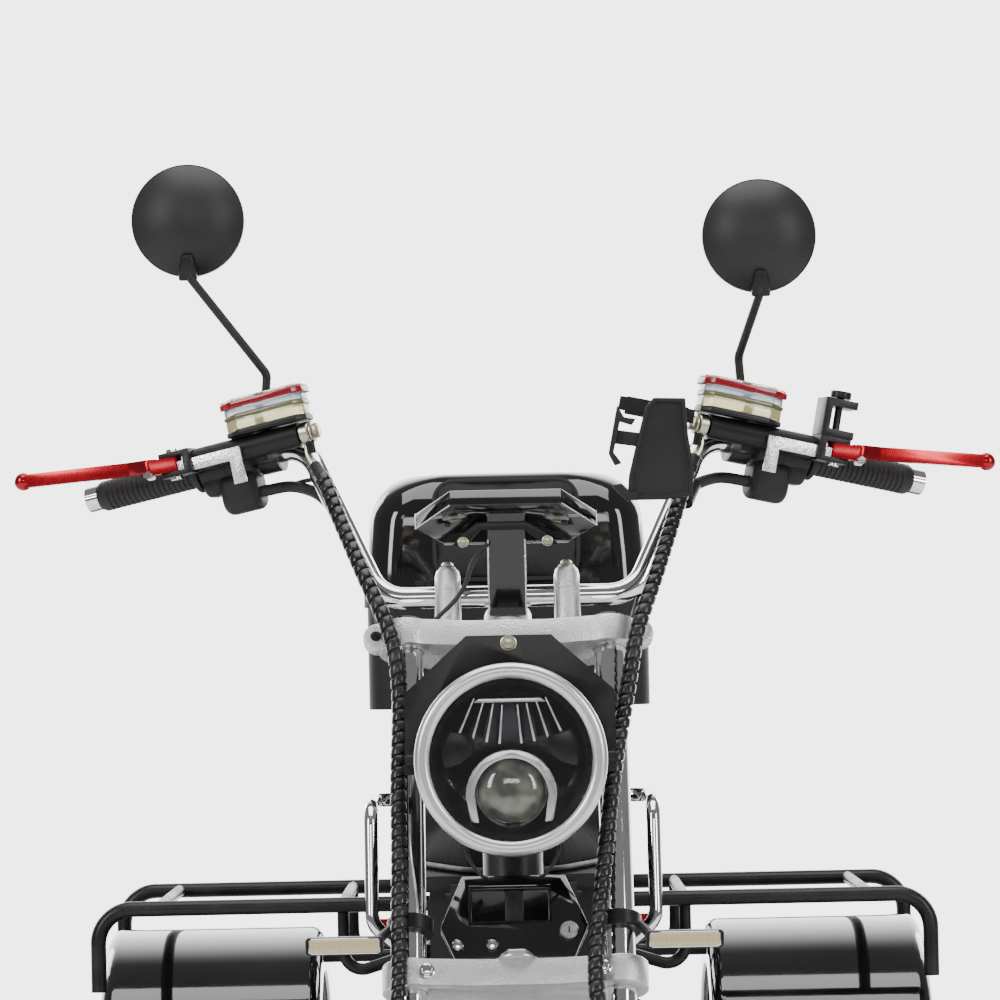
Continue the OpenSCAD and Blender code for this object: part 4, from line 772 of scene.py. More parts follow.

# %% [markdown]
# ** Small trim in front of the rider.** The display is a flat six-sided pod with an arch bracket below it. Thin pale
# alloy wires along the display's upper edges and down the bracket's arms are painted highlights, lines of light on
# those edges. Each trim piece is a plate or a wire, in the place that the CAD solid gives it.

# %% Display edge highlights and arch bracket
DISPLAY = move(0, -0.29684, 1.06) @ turn(-30, "X")
hexagon = mm((-93, 6), (-57, -39), (57, -39), (93, 6), (63, 39), (-63, 39))
# Painted highlight: pale alloy wires along the display's upper edges, down its tips and along the front of its lower
# face.
top_edge_highlight = [DISPLAY @ Vector((x, y, 0.0088)) for x, y in (hexagon[0], hexagon[5], hexagon[4], hexagon[3])]
top_edge_highlight = [DISPLAY @ Vector((-0.057, -0.039, -0.0086)), DISPLAY @ Vector((-0.093, 0.006, -0.0086))] + top_edge_highlight
top_edge_highlight += [DISPLAY @ Vector((0.093, 0.006, -0.0086)), DISPLAY @ Vector((0.057, -0.039, -0.0086))]
front_edge_highlight = [DISPLAY @ Vector((s * 0.064, 0.0385, -0.0088)) for s in (-1, 1)]
display_parts = [painted(wire(top_edge_highlight, 0.0007, smooth=False), SATIN_ALLOY),
                 painted(wire(front_edge_highlight, 0.0007, smooth=False), SATIN_ALLOY)]
arch_sheet = plate(mm((-56, -6), (-50, 2), (-30, 18), (22, 18), (44, 4), (54, -6), (40, -6), (18, 10), (-26, 10),
                      (-42, -6)), 0.003,
                   move(0, -0.3212, 1.036) @ UPRIGHT)
display_parts.append(painted(arch_sheet, DARK_PLASTIC))
# Painted highlight: a pale alloy wire down each arm of the arch bracket.
rail_edge_highlights = [[(s * 0.0188, -0.3214, 0.962), (s * 0.0188, -0.3214, 1.036)] for s in (-1, 1)]
for ends in rail_edge_highlights:
    display_parts.append(painted(wire(ends, 0.0008, smooth=False), SATIN_ALLOY))
dimple = turned(mm((0, 0), (3.6, 0), (3.6, -0.8), (2.6, -1.6), (0, -1.6)), 16)
display_parts.append(painted(copies(dimple, [DISPLAY @ move(s * 0.06, -0.002, -0.009) for s in (-1, 1)]), DARK_PLASTIC))
settle(joined(display_parts), "display_trim", "steering")

# %% [markdown]
# **Bolts** repeat all over a machine. One hexagon bolt with a washer is turned and bevelled once, and a table says
# where its copies stand: on which body, at what place and which way they point.

# %% Bolts
RISER_X = 0.061


def hex_bolt(radius, height):
    """A hexagon head on a washer, pointing along z."""
    corners = [(radius * math.cos(math.tau * k / 6), radius * math.sin(math.tau * k / 6)) for k in range(6)]
    head = plate(corners, height, move(0, 0, height * 0.3), bevel=height * 0.16)
    washer = turned([(0.0, 0.0), (radius * 1.35, 0.0), (radius * 1.35, height * 0.22), (radius * 1.2, height * 0.32),
                     (0.0, height * 0.32)], 24)
    return joined([head, washer])


bracket_front = min(v.co.y for v in nodes["headlight_bracket"].data.vertices if abs(v.co.x) < 0.05 and v.co.z > 0.915)
print("the lamp bracket's front is at y", round(bracket_front, 4))
BOLT_ROWS = [
    # name, body, finish, radius, height, places
    ("bolts_risers", "steering", ZINC, 0.0062, 0.005,
     [up_fork(s * RISER_X, u, l) for s in (-1, 1) for u, l in ((0.0205, 0.8672), (0.05, 0.86))]),
    ("bolt_stem_cap", "steering", ZINC, 0.0085, 0.007, [up_fork(0, 0.047, 0.829)]),
    ("nut_lower_clamp", "steering", SILVER, 0.017, 0.0078, [up_fork(0.002, -0.006, 0.4205)]),
    ("bolts_arch_bracket", "steering", ZINC, 0.0042, 0.0036,
     [move(x, -0.3242, 1.034) @ UPRIGHT for x in (-0.044, 0.042)]),
    ("bolt_lamp_bracket", "steering", ZINC, 0.006, 0.005, [move(0, bracket_front, 0.931) @ UPRIGHT]),
    ("bolts_lower_clamp", "steering", CHROME, 0.0056, 0.005,
     [up_fork(s * 0.086, -0.0265, 0.407) @ UPRIGHT for s in (-1, 1)]),
]
for name, body, paint, radius, height, places in BOLT_ROWS:
    bolts = copies(hex_bolt(radius, height), places)
    settle(painted(bolts, paint), name, body, smooth=25)
print(sum(len(row[5]) for row in BOLT_ROWS), "bolts")

# %% [markdown]
# **Soft pads.** The saddle and the backrest are foam under stretched vinyl, so no face on them is flat. Each starts as
# a slightly smaller copy of its CAD solid in even voxels. A short cloth simulation then blows it up against its own
# skin, with the side that is screwed down held fast. A cap on how far a point may move keeps it within its place.

# %% Saddle and backrest
CLOTH_STEPS = 20


def stuffed(node_name, name, paint, body, held, inset, voxel, cap):
    """A padded copy of a soft CAD solid. `held` says which points are fixed to the pan."""
    pad = own_copy(node_name, 1e-5)
    modify(pad, "REMESH", mode="VOXEL", voxel_size=voxel)
    modify(pad, "SMOOTH", factor=0.5, iterations=3)
    modify(pad, "DISPLACE", strength=-inset, mid_level=0.0)
    start = [vertex.co.copy() for vertex in pad.data.vertices]
    group = pad.vertex_groups.new(name="held")
    group.add([i for i, co in enumerate(start) if held(co)], 1.0, "REPLACE")
    only(pad)
    cloth = pad.modifiers.new("cloth", "CLOTH")
    cloth.settings.use_pressure = True
    cloth.settings.uniform_pressure_force = 4.0
    cloth.settings.vertex_group_mass = "held"
    cloth.settings.effector_weights.gravity = 0
    for step in range(1, CLOTH_STEPS + 1):
        bpy.context.scene.frame_set(step)
    bpy.ops.object.modifier_apply(modifier="cloth")
    bpy.context.scene.frame_set(1)
    for vertex, co in zip(pad.data.vertices, start):
        swell = vertex.co - co
        if swell.length > cap:
            vertex.co = co + swell * (cap / swell.length)
    moved = max((v.co - co).length for v, co in zip(pad.data.vertices, start))
    print(name, "moved by up to", round(moved * 1000, 1), "mm")
    modify(pad, "SMOOTH", factor=0.5, iterations=2)
    modify(pad, "SUBSURF", levels=1, render_levels=1)
    settle(painted(pad, paint), name, body, smooth=60, replaces=(node_name,))


rest_low, rest_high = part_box("backrest_pad")
seat_low, seat_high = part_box("saddle_cushion")
stuffed("backrest_pad", "backrest_foam", PAD_HIDE, "top_lid",
        lambda co: co.y > rest_high.y - 0.01, inset=0.005, voxel=0.005, cap=0.009)
stuffed("saddle_cushion", "saddle_foam", SADDLE_HIDE, "saddle",
        lambda co: co.z < seat_low.z + 0.012, inset=0.006, voxel=0.007, cap=0.012)

# %% [markdown]
# Piping hides the seam where the face of the pad meets its side. It is a cord sewn into the cover, so it runs round
# the pad as a round wire that is half sunk in it.

# %% Piping
def rounded(low, high, radius, steps=6):
    """Points round a rounded rectangle between two corners, in two dimensions."""
    path = []
    for corner, (sx, sy) in enumerate(((1, 1), (-1, 1), (-1, -1), (1, -1))):
        cx = (high[0] - radius) if sx > 0 else (low[0] + radius)
        cy = (high[1] - radius) if sy > 0 else (low[1] + radius)
        for k in range(steps + 1):
            angle = math.pi / 2 * (corner + k / steps)
            path.append((cx + radius * math.cos(angle), cy + radius * math.sin(angle)))
    return path


pad_edge = rounded((rest_low.x + 0.004, rest_low.z + 0.004), (rest_high.x - 0.004, rest_high.z - 0.004), 0.024)
front_ring = [Vector((x, rest_low.y + 0.011, z)) for x, z in pad_edge]
pad_piping = painted(wire(front_ring, 0.003, closed=True), PAD_HIDE)
settle(pad_piping, "backrest_piping", "top_lid")
saddle_rows = {}
for vertex in nodes["saddle_cushion"].data.vertices:
    if vertex.co.z < seat_low.z + 0.002:
        saddle_rows.setdefault(round(vertex.co.y, 3), []).append(vertex.co.x)
outline = sorted((y, max(map(abs, xs))) for y, xs in saddle_rows.items() if max(map(abs, xs)) > 0.03)
spaced = outline[::max(1, len(outline) // 26)]
right_side = [Vector((half - 0.003, y, seat_low.z + 0.006)) for y, half in spaced]
left_side = [Vector((-point.x, point.y, point.z)) for point in reversed(right_side)]
saddle_piping = painted(wire(right_side + left_side, 0.0032, closed=True), RUBBER)
settle(saddle_piping, "saddle_piping", "saddle")

# %% [markdown]
# ** Brake fluid cups** are stacked clear mouldings: a black body, a yellow window that shows the fluid, an olive layer
# that is painted shadow, the clear diaphragm space and a red lid. Each layer is one bevelled plate in the grip's frame.

# %% Fluid cups
def cup_outline(grow):
    """The wedge outline of the cup in metres, grown by this many millimetres."""
    rows = [(4, -20), (70, -20), (88, -6), (88, 8), (70, 20), (4, 20), (-4, 10), (-4, -10)]
    cx, cy = 42, 0
    return [((x + (grow if x > cx else -grow) - 22) / 1000, (y + (grow if y > cy else -grow) - 40) / 1000)
            for x, y in rows]


# Painted shadow: a dim olive clear layer between the fluid window and the diaphragm space stands for a band of shadow.
SHADOW_BAND_PAINT = clear("painted_shadow_band", (0.16, 0.15, 0.07), 0.12, 0.2)
HAZE = clear("blue_haze", (0.5, 0.56, 0.62), 0.1, 0.55)
CUP_LAYERS = [
    # bottom, height, growth, bevel, finish (all in millimetres but the last)
    (21.0, 5.5, 0.0, 0.8, DARK_PLASTIC), (26.4, 12.0, -1.0, 1.6, FLUID), (38.2, 4.0, -0.2, 0.8, SHADOW_BAND_PAINT),
    (42.0, 8.2, -1.2, 1.4, HAZE), (50.0, 6.6, 1.4, 1.0, RED_CLEAR), (56.4, 2.6, 0.4, 1.0, CLEAR_CAP),
]
cup_parts = []
for bottom, height, growth, bevel, paint in CUP_LAYERS:
    layer = plate(cup_outline(growth), height / 1000, bevel=bevel / 1000, segments=3)
    cup_parts.append(painted(copies(layer, at_grips(0, 0, bottom / 1000)), paint))
screw = turned(mm((0, 0), (3.4, 0), (3.4, 1.2), (2, 2.2), (1.2, 1.2), (0, 1.2)), 16)
screw_at = [g @ move(x / 1000, y / 1000, 0.0588) for g in BOTH_GRIPS for x, y in ((-12, -40), (52, -40))]
cup_parts.append(painted(copies(screw, screw_at), ZINC))
settle(joined(cup_parts), "fluid_cups", "steering", replaces=("reservoirs",))

# %% [markdown]
# ** Grips** are rubber sleeves. Rings are moulded round them for the palm, with a flange at the inner end. The section
# is spun with its rings.

# %% Grips
GRIP_START, GRIP_LEN, GRIP_R = 0.1196, 0.118, 0.016
section = [(0.0118, 0.0), (0.0215, 0.0), (0.022, 0.0012), (0.022, 0.0048), (0.0205, 0.0062), (GRIP_R, 0.0066)]
ring_z = 0.01
while ring_z < GRIP_LEN - 0.01:
    section += [(GRIP_R, ring_z), (GRIP_R - 0.0011, ring_z + 0.0008), (GRIP_R - 0.0011, ring_z + 0.0022),
                (GRIP_R, ring_z + 0.003)]
    ring_z += 0.0058
section += [(GRIP_R, GRIP_LEN - 0.004), (GRIP_R - 0.002, GRIP_LEN), (0.0118, GRIP_LEN)]
sleeve = turned(section, 40)
sleeves = copies(sleeve, at_grips(GRIP_START, 0, 0, SIDEWAYS))
settle(painted(sleeves, RUBBER), "ribbed_grips", "steering", smooth=28, replaces=("grips",))

# %% [markdown]
# **Mirror trim.** A pale rim holds each glass and a wedge joins the shell to its stem. The places come from the CAD's
# mirror glasses, one on each side.

# %% Mirror rims and sockets
def side_box(node_name, side):
    """Lowest and highest corner of the part of a node on one side of the middle."""
    points = [v.co for v in nodes[node_name].data.vertices if v.co.x * side > 0]
    return (Vector(min(p[i] for p in points) for i in range(3)), Vector(max(p[i] for p in points) for i in range(3)))


rim = mm((57.2, -0.5), (58.7, -0.8), (58.9, 2), (58.2, 3.4), (56.6, 3), (56.4, 0.8))
wedge = plate(mm((-10, -4), (10, -4), (8.5, 12), (5, 24), (-5, 24), (-8.5, 12)), 0.016, bevel=0.0025, segments=3)
rim_parts, wedge_places = [], []
for side in (-1, 1):
    low, high = side_box("mirror_glass", side)
    middle = (low + high) / 2
    back = high.y + 0.0005
    rim_parts.append(painted(turned(rim, 72, move(middle.x, back - 0.0036, middle.z) @ turn(-90, "X")), SATIN_ALLOY))
    wedge_places.append(move(middle.x, back - 0.01, middle.z - 0.056) @ turn(90, "X") @ turn(18, "X"))
rim_parts.append(painted(copies(wedge, wedge_places), DARK_PLASTIC))
settle(joined(rim_parts), "mirror_trim", "steering", smooth=30)

# %% [markdown]
# ** The lid of the top case** is a thin moulded shell with broad round shoulders, which the CAD solid gives in three
# steps. Here rings of a rounded rectangle are lofted from the rim up over the shoulders, and Solidify gives the shell
# its 4 mm wall, so that it stays hollow when it is opened. A thin chrome wire runs round its rim as a painted
# highlight, the pale line of light along the lid's lower edge.

# %% Top case lid
def lofted(rings):
    """A skin through rings that all have the same number of (x, y, z) points."""
    count = len(rings[0])
    deselect()
    bpy.ops.mesh.primitive_circle_add(vertices=count, radius=1, fill_type="NOTHING")
    skin = bpy.context.object
    first = [vertex.co.copy() for vertex in skin.data.vertices]
    bpy.ops.object.mode_set(mode="EDIT")
    bpy.ops.mesh.select_all(action="SELECT")
    for _ in rings[1:]:
        bpy.ops.mesh.extrude_region_move(TRANSFORM_OT_translate={"value": (0, 0, 1)})
    bpy.ops.object.mode_set(mode="OBJECT")
    for vertex in skin.data.vertices:
        level = round(vertex.co.z)
        index = min(range(count), key=lambda i: (first[i].x - vertex.co.x) ** 2 + (first[i].y - vertex.co.y) ** 2)
        vertex.co = rings[level][index]
    return skin


CASE_MID_Y, SPLIT_Z = 0.77425, 0.989
lid_levels = [(0, 171, 159, 42), (3, 171, 159, 42), (44, 169.5, 158, 43), (80, 167, 156, 44)]
for step in range(1, 11):
    angle = math.pi / 2 * step / 10
    lid_levels.append((80 + 65.5 * math.sin(angle), 167 - 60 * (1 - math.cos(angle)), 156 - 42 * (1 - math.cos(angle)),
                       44 + 14 * (1 - math.cos(angle))))
lid_levels += [(145.8, 60, 66, 40), (146, 0.1, 0.1, 0.05)]
lid_rings = []
for height, half_w, half_l, corner in lid_levels:
    flat = rounded((-half_w, -half_l), (half_w, half_l), corner, steps=9)
    lid_rings.append([(x / 1000, CASE_MID_Y + y / 1000, SPLIT_Z + height / 1000) for x, y in flat])
lid = tidy_mesh(lofted(lid_rings), 3e-4)
modify(lid, "SOLIDIFY", thickness=0.004, offset=-1, use_even_offset=True)
lid_parts = [painted(lid, GLOSS)]
# Painted highlight: this chrome wire round the lid's rim stands for a pale line of light on its lower edge.
rim_highlight_ring = [Vector((x / 1000, CASE_MID_Y + y / 1000, SPLIT_Z + 0.0035))
              for x, y in rounded((-170.0, -157.6), (170.0, 157.6), 41, steps=9)]
lid_parts.append(painted(wire(rim_highlight_ring, 0.0014, smooth=False, closed=True), CHROME))
HINGE_Y, HINGE_Z = 0.60925, 0.993
barrel = mm((3, -7), (4.6, -7), (5, -6.5), (5, 6.5), (4.6, 7), (3, 7))
KNUCKLE_X = 0.1045
lid_parts.append(painted(copies(turned(barrel, 24), [move(s * KNUCKLE_X, HINGE_Y, HINGE_Z) @ SIDEWAYS for s in (-1,
                                                                                                                1)]),
                         DARK_PLASTIC))
leaf = plate(mm((-7, 4.2), (7, 4.2), (7, 12.5), (-7, 12.5)), 0.009, bevel=0.0008)
lid_parts.append(painted(copies(leaf, [move(s * KNUCKLE_X, HINGE_Y - 0.004, HINGE_Z + 0.002) for s in (-1, 1)]),
                         DARK_PLASTIC))
settle(joined(lid_parts), "moulded_lid", "top_lid", smooth=40, replaces=("case_lid",))

# %% [markdown]
# **Tyres** are spun from a section that ends a few millimetres under the tread. The faces of the tread are then
# picked out by their place, inset one by one and pushed outwards, so that blocks stand over real grooves. Each sidewall
# keeps its plain curve. The two rear tyres are wide and nearly square, and the front one is round like a motorcycle's.

# %% Tyres with tread blocks
def tyre(name, node_name, body, width, outer_d, rim_d, steps, rows, crown, shoulder):
    """A treaded tyre about the x axis, centred where its CAD node is."""
    low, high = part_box(node_name)
    middle = (low + high) / 2
    half, outer, deep = width / 2, outer_d / 2, 0.0045
    floor_r = outer - deep
    profile = []
    tread_half = half - shoulder * 0.42
    for k in range(rows + 1):
        z = -tread_half + 2 * tread_half * k / rows
        drop = crown - math.sqrt(max(crown * crown - z * z, 0.0))
        profile.append((floor_r - drop, z))
    edge_r = profile[-1][0]
    side = []
    for k in range(1, 7):
        t = k / 6
        side.append((edge_r - (edge_r - rim_d / 2 - 0.03) * t ** 1.2,
                     tread_half + (half - tread_half) * math.sin(t * 1.9)))
    side.append((rim_d / 2 + 0.012, half - 0.016))
    side.append((rim_d / 2 + 0.001, half - 0.022))
    low_side = [(r, -z) for r, z in reversed(side)]
    inner = [(rim_d / 2 + 0.001, half - 0.034), (rim_d / 2 + 0.02, half - 0.03), (edge_r - 0.022, half - 0.03),
             (edge_r - 0.022, -half + 0.03), (rim_d / 2 + 0.02, -half + 0.03), (rim_d / 2 + 0.001, -half + 0.034)]
    section = low_side + profile + side + inner
    shell = turned(section, steps, turn(90, "Y"))

    def on_tread(face):
        spoke = Vector((0, face.center.y, face.center.z))
        outward = spoke.normalized().dot(face.normal)
        return outward > 0.5 and abs(face.center.x) < tread_half and math.hypot(*spoke.yz) > edge_r - 0.006

    blocks = edit_faces(shell, on_tread)
    bpy.ops.mesh.inset(thickness=0.0022, use_individual=True, use_even_offset=True)
    bpy.ops.mesh.extrude_faces_move(TRANSFORM_OT_shrink_fatten={"value": deep})
    end_edit()
    at_place(shell, Matrix.Translation(middle))
    print(name, blocks, "blocks")
    return settle(painted(shell, TYRE), name, body, smooth=35, replaces=(node_name,))


tyre("front_tread", "front_tyre", "front_wheel", 0.12, 0.473, 0.305, 84, 6, 0.095, 0.026)
for hand in ("left", "right"):
    tyre(f"rear_tread_{hand}", f"rear_tyre_{hand}", f"rear_wheel_{hand}", 0.225, 0.451, 0.215, 72, 8, 0.42, 0.034)

# %% [markdown]
# **Cables.** A thick bundle in black tape comes down from the switches on each side, with a thin cable beside the one
# on the rider's right. Another leaves the display and crosses the riser, and two thin loops hang under the headlight.

# %% Cables
def grip_point(side, x, y, z):
    point = GRIP @ Vector((x, y, z))
    return Vector((side * point.x, point.y, point.z))


cable_runs = [
    # radius, route
    (0.0062, [grip_point(-1, 0.06, -0.006, -0.036), grip_point(-1, 0.02, 0.004, -0.04), Vector((-0.176, -0.246, 1.07)),
              Vector((-0.15, -0.262, 1.02)), Vector((-0.14, -0.278, 0.985)), Vector((-0.126, -0.318, 0.94))]),
    (0.0024, [grip_point(-1, 0.064, 0.004, -0.03), grip_point(-1, 0.036, 0.01, -0.034), Vector((-0.19, -0.232, 1.1)),
              Vector((-0.17, -0.25, 1.064)), Vector((-0.15, -0.268, 1.022))]),
    (0.0062, [grip_point(1, 0.06, -0.006, -0.036), grip_point(1, 0.02, 0.004, -0.04), Vector((0.178, -0.246, 1.07)),
              Vector((0.152, -0.262, 1.02)), Vector((0.138, -0.282, 0.975)), Vector((0.126, -0.318, 0.94))]),
    (0.0024, [Vector((-0.019, -0.327, 1.032)), Vector((-0.032, -0.33, 1.018)), Vector((-0.046, -0.342, 0.985)),
              Vector((-0.074, -0.362, 0.955)), Vector((-0.092, -0.372, 0.938))]),
]
cables = [painted(wire(route, radius), RUBBER) for radius, route in cable_runs]
for side in (-1, 1):
    loop = [Vector((side * 0.046, -0.5, 0.732)), Vector((side * 0.044, -0.506, 0.722)),
            Vector((side * 0.034, -0.503, 0.706)), Vector((side * 0.026, -0.49, 0.7))]
    cables.append(painted(wire(loop, 0.0017), RUBBER))
settle(joined(cables), "cables", "steering", smooth=50)

# %% [markdown]
# ** The neck cover** is held by two screws and carries a key lock, whose bright round face has an upright slot. The slot
# is a thin dark plate laid on the face, painted shade for the keyway.

# %% Lock and screws
cover = [FORK.inverted() @ vertex.co for vertex in nodes["neck_cover"].data.vertices]
face_u, cover_low, cover_high = min(p.y for p in cover), min(p.z for p in cover), max(p.z for p in cover)


def on_cover(x, up, out=0.0):
    return FORK @ move(x, face_u - out, cover_low + up) @ UPRIGHT


SCREW_R = 0.006
head = turned([(0.0, 0.0), (SCREW_R, 0.0), (SCREW_R, SCREW_R * 0.25), (SCREW_R * 0.7, SCREW_R * 0.62),
               (SCREW_R * 0.34, SCREW_R * 0.7), (SCREW_R * 0.26, SCREW_R * 0.36), (0.0, SCREW_R * 0.36)], 20)
screws = copies(head, [on_cover(-0.056, 0.014), on_cover(-0.022, 0.014)])
settle(painted(screws, CHROME), "neck_screws", "chassis", smooth=30)
barrel_lock = turned(mm((0, -2), (9.2, -2), (9.2, 1.2), (8, 2.6), (6.2, 2.6), (5.4, 1.4), (0, 1.4)), 32)
# Painted shade: the keyway is a thin dark plate standing on the lock's face.
keyway_shade_plate = plate(mm((-0.8, -3.6), (0.8, -3.6), (0.8, 3.6), (-0.8, 3.6)), 0.0012, move(0, 0, 0.0006))
lock = joined([painted(barrel_lock, SILVER), painted(keyway_shade_plate, DARK_PLASTIC)])
settle(copies(lock, [on_cover(0.054, 0.028)]), "key_lock", "chassis")
lip = [(x, cover_low + z) for x, z in ((-0.044, 0.038), (0.036, 0.038), (0.036, 0.076), (-0.044, 0.076))]
mouth = wire([FORK @ Vector((x, face_u - 0.0002, z)) for x, z in lip], 0.0012, smooth=False, closed=True)
settle(painted(mouth, GLOSS), "neck_slot_lip", "chassis")
print("neck cover is", round(cover_high - cover_low, 3), "m high")

# %% [markdown]
# **Moulded and cast edges.** No moulding or casting has knife edges, because the tool needs a radius to fill and to let
# go. The plain CAD solids are copied, their triangles are merged into whole faces, and each edge
# gets a radius that fits its process.

# %% Rounded copies of hard-edged solids
def softened(node_name, name, paint, body, slot, width):
    """A copy of a CAD solid with rounded edges, worn in its place."""
    twin = own_copy(node_name)
    bpy.ops.object.mode_set(mode="EDIT")
    bpy.ops.mesh.select_all(action="SELECT")
    bpy.ops.mesh.dissolve_limited(angle_limit=math.radians(0.6))
    bpy.ops.object.mode_set(mode="OBJECT")
    modify(twin, "BEVEL", width=width, segments=3, limit_method="ANGLE", angle_limit=math.radians(32))
    return settle(painted(twin, paint), name, body, smooth=38, replaces=(node_name,))


SOFTENED = [
    # CAD node, piece, finish, body, slot, edge radius
    ("display", "rounded_display", GLOSS, "steering", "black_plastic", 0.0012),
    ("brake_masters", "cast_masters", DARK_PLASTIC, "steering", "black_plastic", 0.001),
    ("upper_clamp", "cast_upper_clamp", CAST, "steering", "cast_alloy", 0.0024),
    ("lower_clamp", "cast_lower_clamp", CAST, "steering", "cast_alloy", 0.0024),
    ("bar_clamp", "rounded_screw_clamp", DARK_PLASTIC, "steering", "black_plastic", 0.0012),
    ("headlight_bracket", "pressed_lamp_bracket", SATIN, "steering", "black_paint", 0.0008),
    ("battery_case", "rounded_battery_case", PLASTIC, "chassis", "black_plastic", 0.003),
    ("case_base", "rounded_case_base", PLASTIC, "chassis", "black_plastic", 0.0016),
    ("neck_cover", "rounded_neck_cover", GLOSS, "chassis", "gloss_black", 0.0022),
    ("footboard", "rounded_footboard", PLASTIC, "chassis", "black_plastic", 0.0016),
    ("rear_shocks", "finished_shocks", SHOCK_RED, "chassis", "shock_red", 0.0006),
    ("levers", "forged_levers", RED_LEVER, "steering", "lever_red", 0.0022),
]
for row in SOFTENED:
    softened(*row)

# %% [markdown]
# ** The top of the fork** shows rough-cast columns with rounded tops under the bar's caps, a drum over the stem and an
# ear on each side, whose drilled hole is a thin dark disc on its face, painted shade. They stand in front of the plain
# clamp, where the light catches them.

# %% Cast columns, stem drum and clamp ears
column = mm((0, 0), (13.2, 0), (13.6, 10), (13.2, 48), (12.6, 48.5), (12.6, 49.7), (13.2, 50.2), (13, 69), (11.8, 74),
            (8.8, 77), (0, 78))
columns = [FORK @ move(s * RISER_X, 0.0205, 0.7895) for s in (-1, 1)]
cast_parts = [painted(copies(turned(column, 36), columns), CAST)]
drum = mm((0, 0), (24.2, 0), (24.5, 3), (24.3, 25), (22.8, 28.5), (19.5, 30), (18, 29), (0, 29))
cast_parts.append(painted(turned(drum, 48, FORK @ move(0, 0.047, 0.8005)), CAST))
ear_outline = [(-0.022, -0.011), (0.01, -0.015)] + [(0.01 + 0.015 * math.cos(a), 0.015 * math.sin(a))
               for a in [math.pi * (k / 10 - 0.5) for k in range(1, 11)]] + [(-0.022, 0.012)]
ear = plate(ear_outline, 0.016, bevel=0.0025, segments=3)
right_ear = up_fork(0.122, 0.008, 0.779) @ UPRIGHT
ears = [right_ear, MIRRORED @ right_ear]
cast_parts.append(painted(copies(ear, ears), CAST))
# Painted shade: the hole in each ear is a thin dark disc laid on the ear's face, not a bore.
hole_shade_disc = turned(mm((0, 0), (5.6, 0), (5.6, 0.4), (4.8, 0.8), (0, 0.4)), 24)
hole_shade_places = [g @ move(0.012, 0.0, 0.016) for g in ears]
cast_parts.append(painted(copies(hole_shade_disc, hole_shade_places), DARK_PLASTIC))
settle(joined(cast_parts), "cast_columns", "steering", smooth=34)

# %% [markdown]
# **Brake lines.** Each cylinder ends in a banjo bolt, whose zinc pipe leads into the wrapped hose. A bright aluminium
# angle carries the switch beside the lever, and the lever turns on a bright pin.

# %% Banjo bolts, pipes, brackets and pins
banjo = mm((4, -5.5), (10.2, -5.5), (11.2, -4), (11.2, 4), (10.2, 5.5), (4, 5.5))
banjo_at = at_grips(-0.0185, -0.04, 0.008, SIDEWAYS)
line_parts = [painted(copies(turned(banjo, 32), banjo_at), ZINC)]
bolt_at = at_grips(-0.0255, -0.04, 0.008, turn(-90, "Y"))
line_parts.append(painted(copies(hex_bolt(0.0082, 0.006), bolt_at), ZINC))
for side in (-1, 1):
    first = smooth_route(HOSE_ROUTES[side], side)
    line_parts.append(painted(wire([grip_point(side, -0.018, -0.04, -0.001), grip_point(side, -0.016, -0.041, -0.014),
                                    first[1], first[6]], 0.0034), ZINC))
settle(joined(line_parts), "brake_lines", "steering", smooth=30)

angle_outline = mm((50, -28), (64, -28), (64, -3), (124, -3), (124, 10), (50, 10))
angle = plate(angle_outline, 0.004, move(0, -0.0545, 0) @ UPRIGHT, bevel=0.0007)
angle_parts = [painted(copies(angle, BOTH_GRIPS), SATIN_ALLOY)]
pin = turned(mm((0, -16.5), (5.8, -16.5), (6.4, -15.5), (6.4, -13), (3.2, -13), (3.2, 13), (6.4, 13), (6.4, 15.5),
                (5.8, 16.5), (0, 16.5)), 24)
angle_parts.append(painted(copies(pin, at_grips(0.128, -0.052, 0.008)), CHROME))
adjuster = turned(mm((0, 0), (5.2, 0), (5.6, 1), (5.6, 8), (4, 9), (4, 15), (0, 15)), 20)
angle_parts.append(painted(copies(adjuster, at_grips(0.15, -0.06, 0.0015, UPRIGHT)), CHROME))
settle(joined(angle_parts), "lever_brackets", "steering", smooth=30)

# %% [markdown]
# **Turn signals** are slim black bars with a cream lens, a thin bright frame and a short stalk from a clamp on the
# fork.

# %% Turn signals
SIGNAL_Y, SIGNAL_Z = -0.54595, 0.64
LEG_X, CLAMP_L = 0.1025, 0.4629
bar_outline = mm((128, -7), (131, -8.8), (201, -8.8), (204, -7), (204, 7), (201, 8.8), (131, 8.8), (128, 7))
BOTH = [Matrix.Identity(4), MIRRORED]
body_bar = plate(bar_outline, 0.0145, move(0, SIGNAL_Y + 0.0088, SIGNAL_Z) @ UPRIGHT, bevel=0.0016)
signal_parts = [painted(copies(body_bar, BOTH), DARK_PLASTIC)]
lens_outline = [(0.1315 + (x - 0.128) * 0.9, z * 0.74) for x, z in bar_outline]
lens = plate(lens_outline, 0.0032, move(0, SIGNAL_Y - 0.0054, SIGNAL_Z) @ UPRIGHT, bevel=0.001, segments=3)
signal_parts.append(painted(copies(lens, BOTH), SIGNAL_LENS))
frame_ring = wire([Vector((x, SIGNAL_Y - 0.006, SIGNAL_Z + z * 1.05)) for x, z in lens_outline], 0.0009, smooth=False,
                  closed=True)
signal_parts.append(painted(copies(frame_ring, BOTH), CHROME))
stalk = wire([FORK @ Vector((0.1215, 0, CLAMP_L)), Vector((0.128, -0.515, 0.648)),
              Vector((0.136, SIGNAL_Y + 0.006, SIGNAL_Z))], 0.0048)
signal_parts.append(painted(copies(stalk, BOTH), RUBBER))
band = mm((16.3, -8), (22.2, -8), (23, -7), (23, 7), (22.2, 8), (16.3, 8))
signal_parts.append(painted(copies(turned(band, 40), [up_fork(s * LEG_X, 0, CLAMP_L) for s in (-1, 1)]), DARK_PLASTIC))
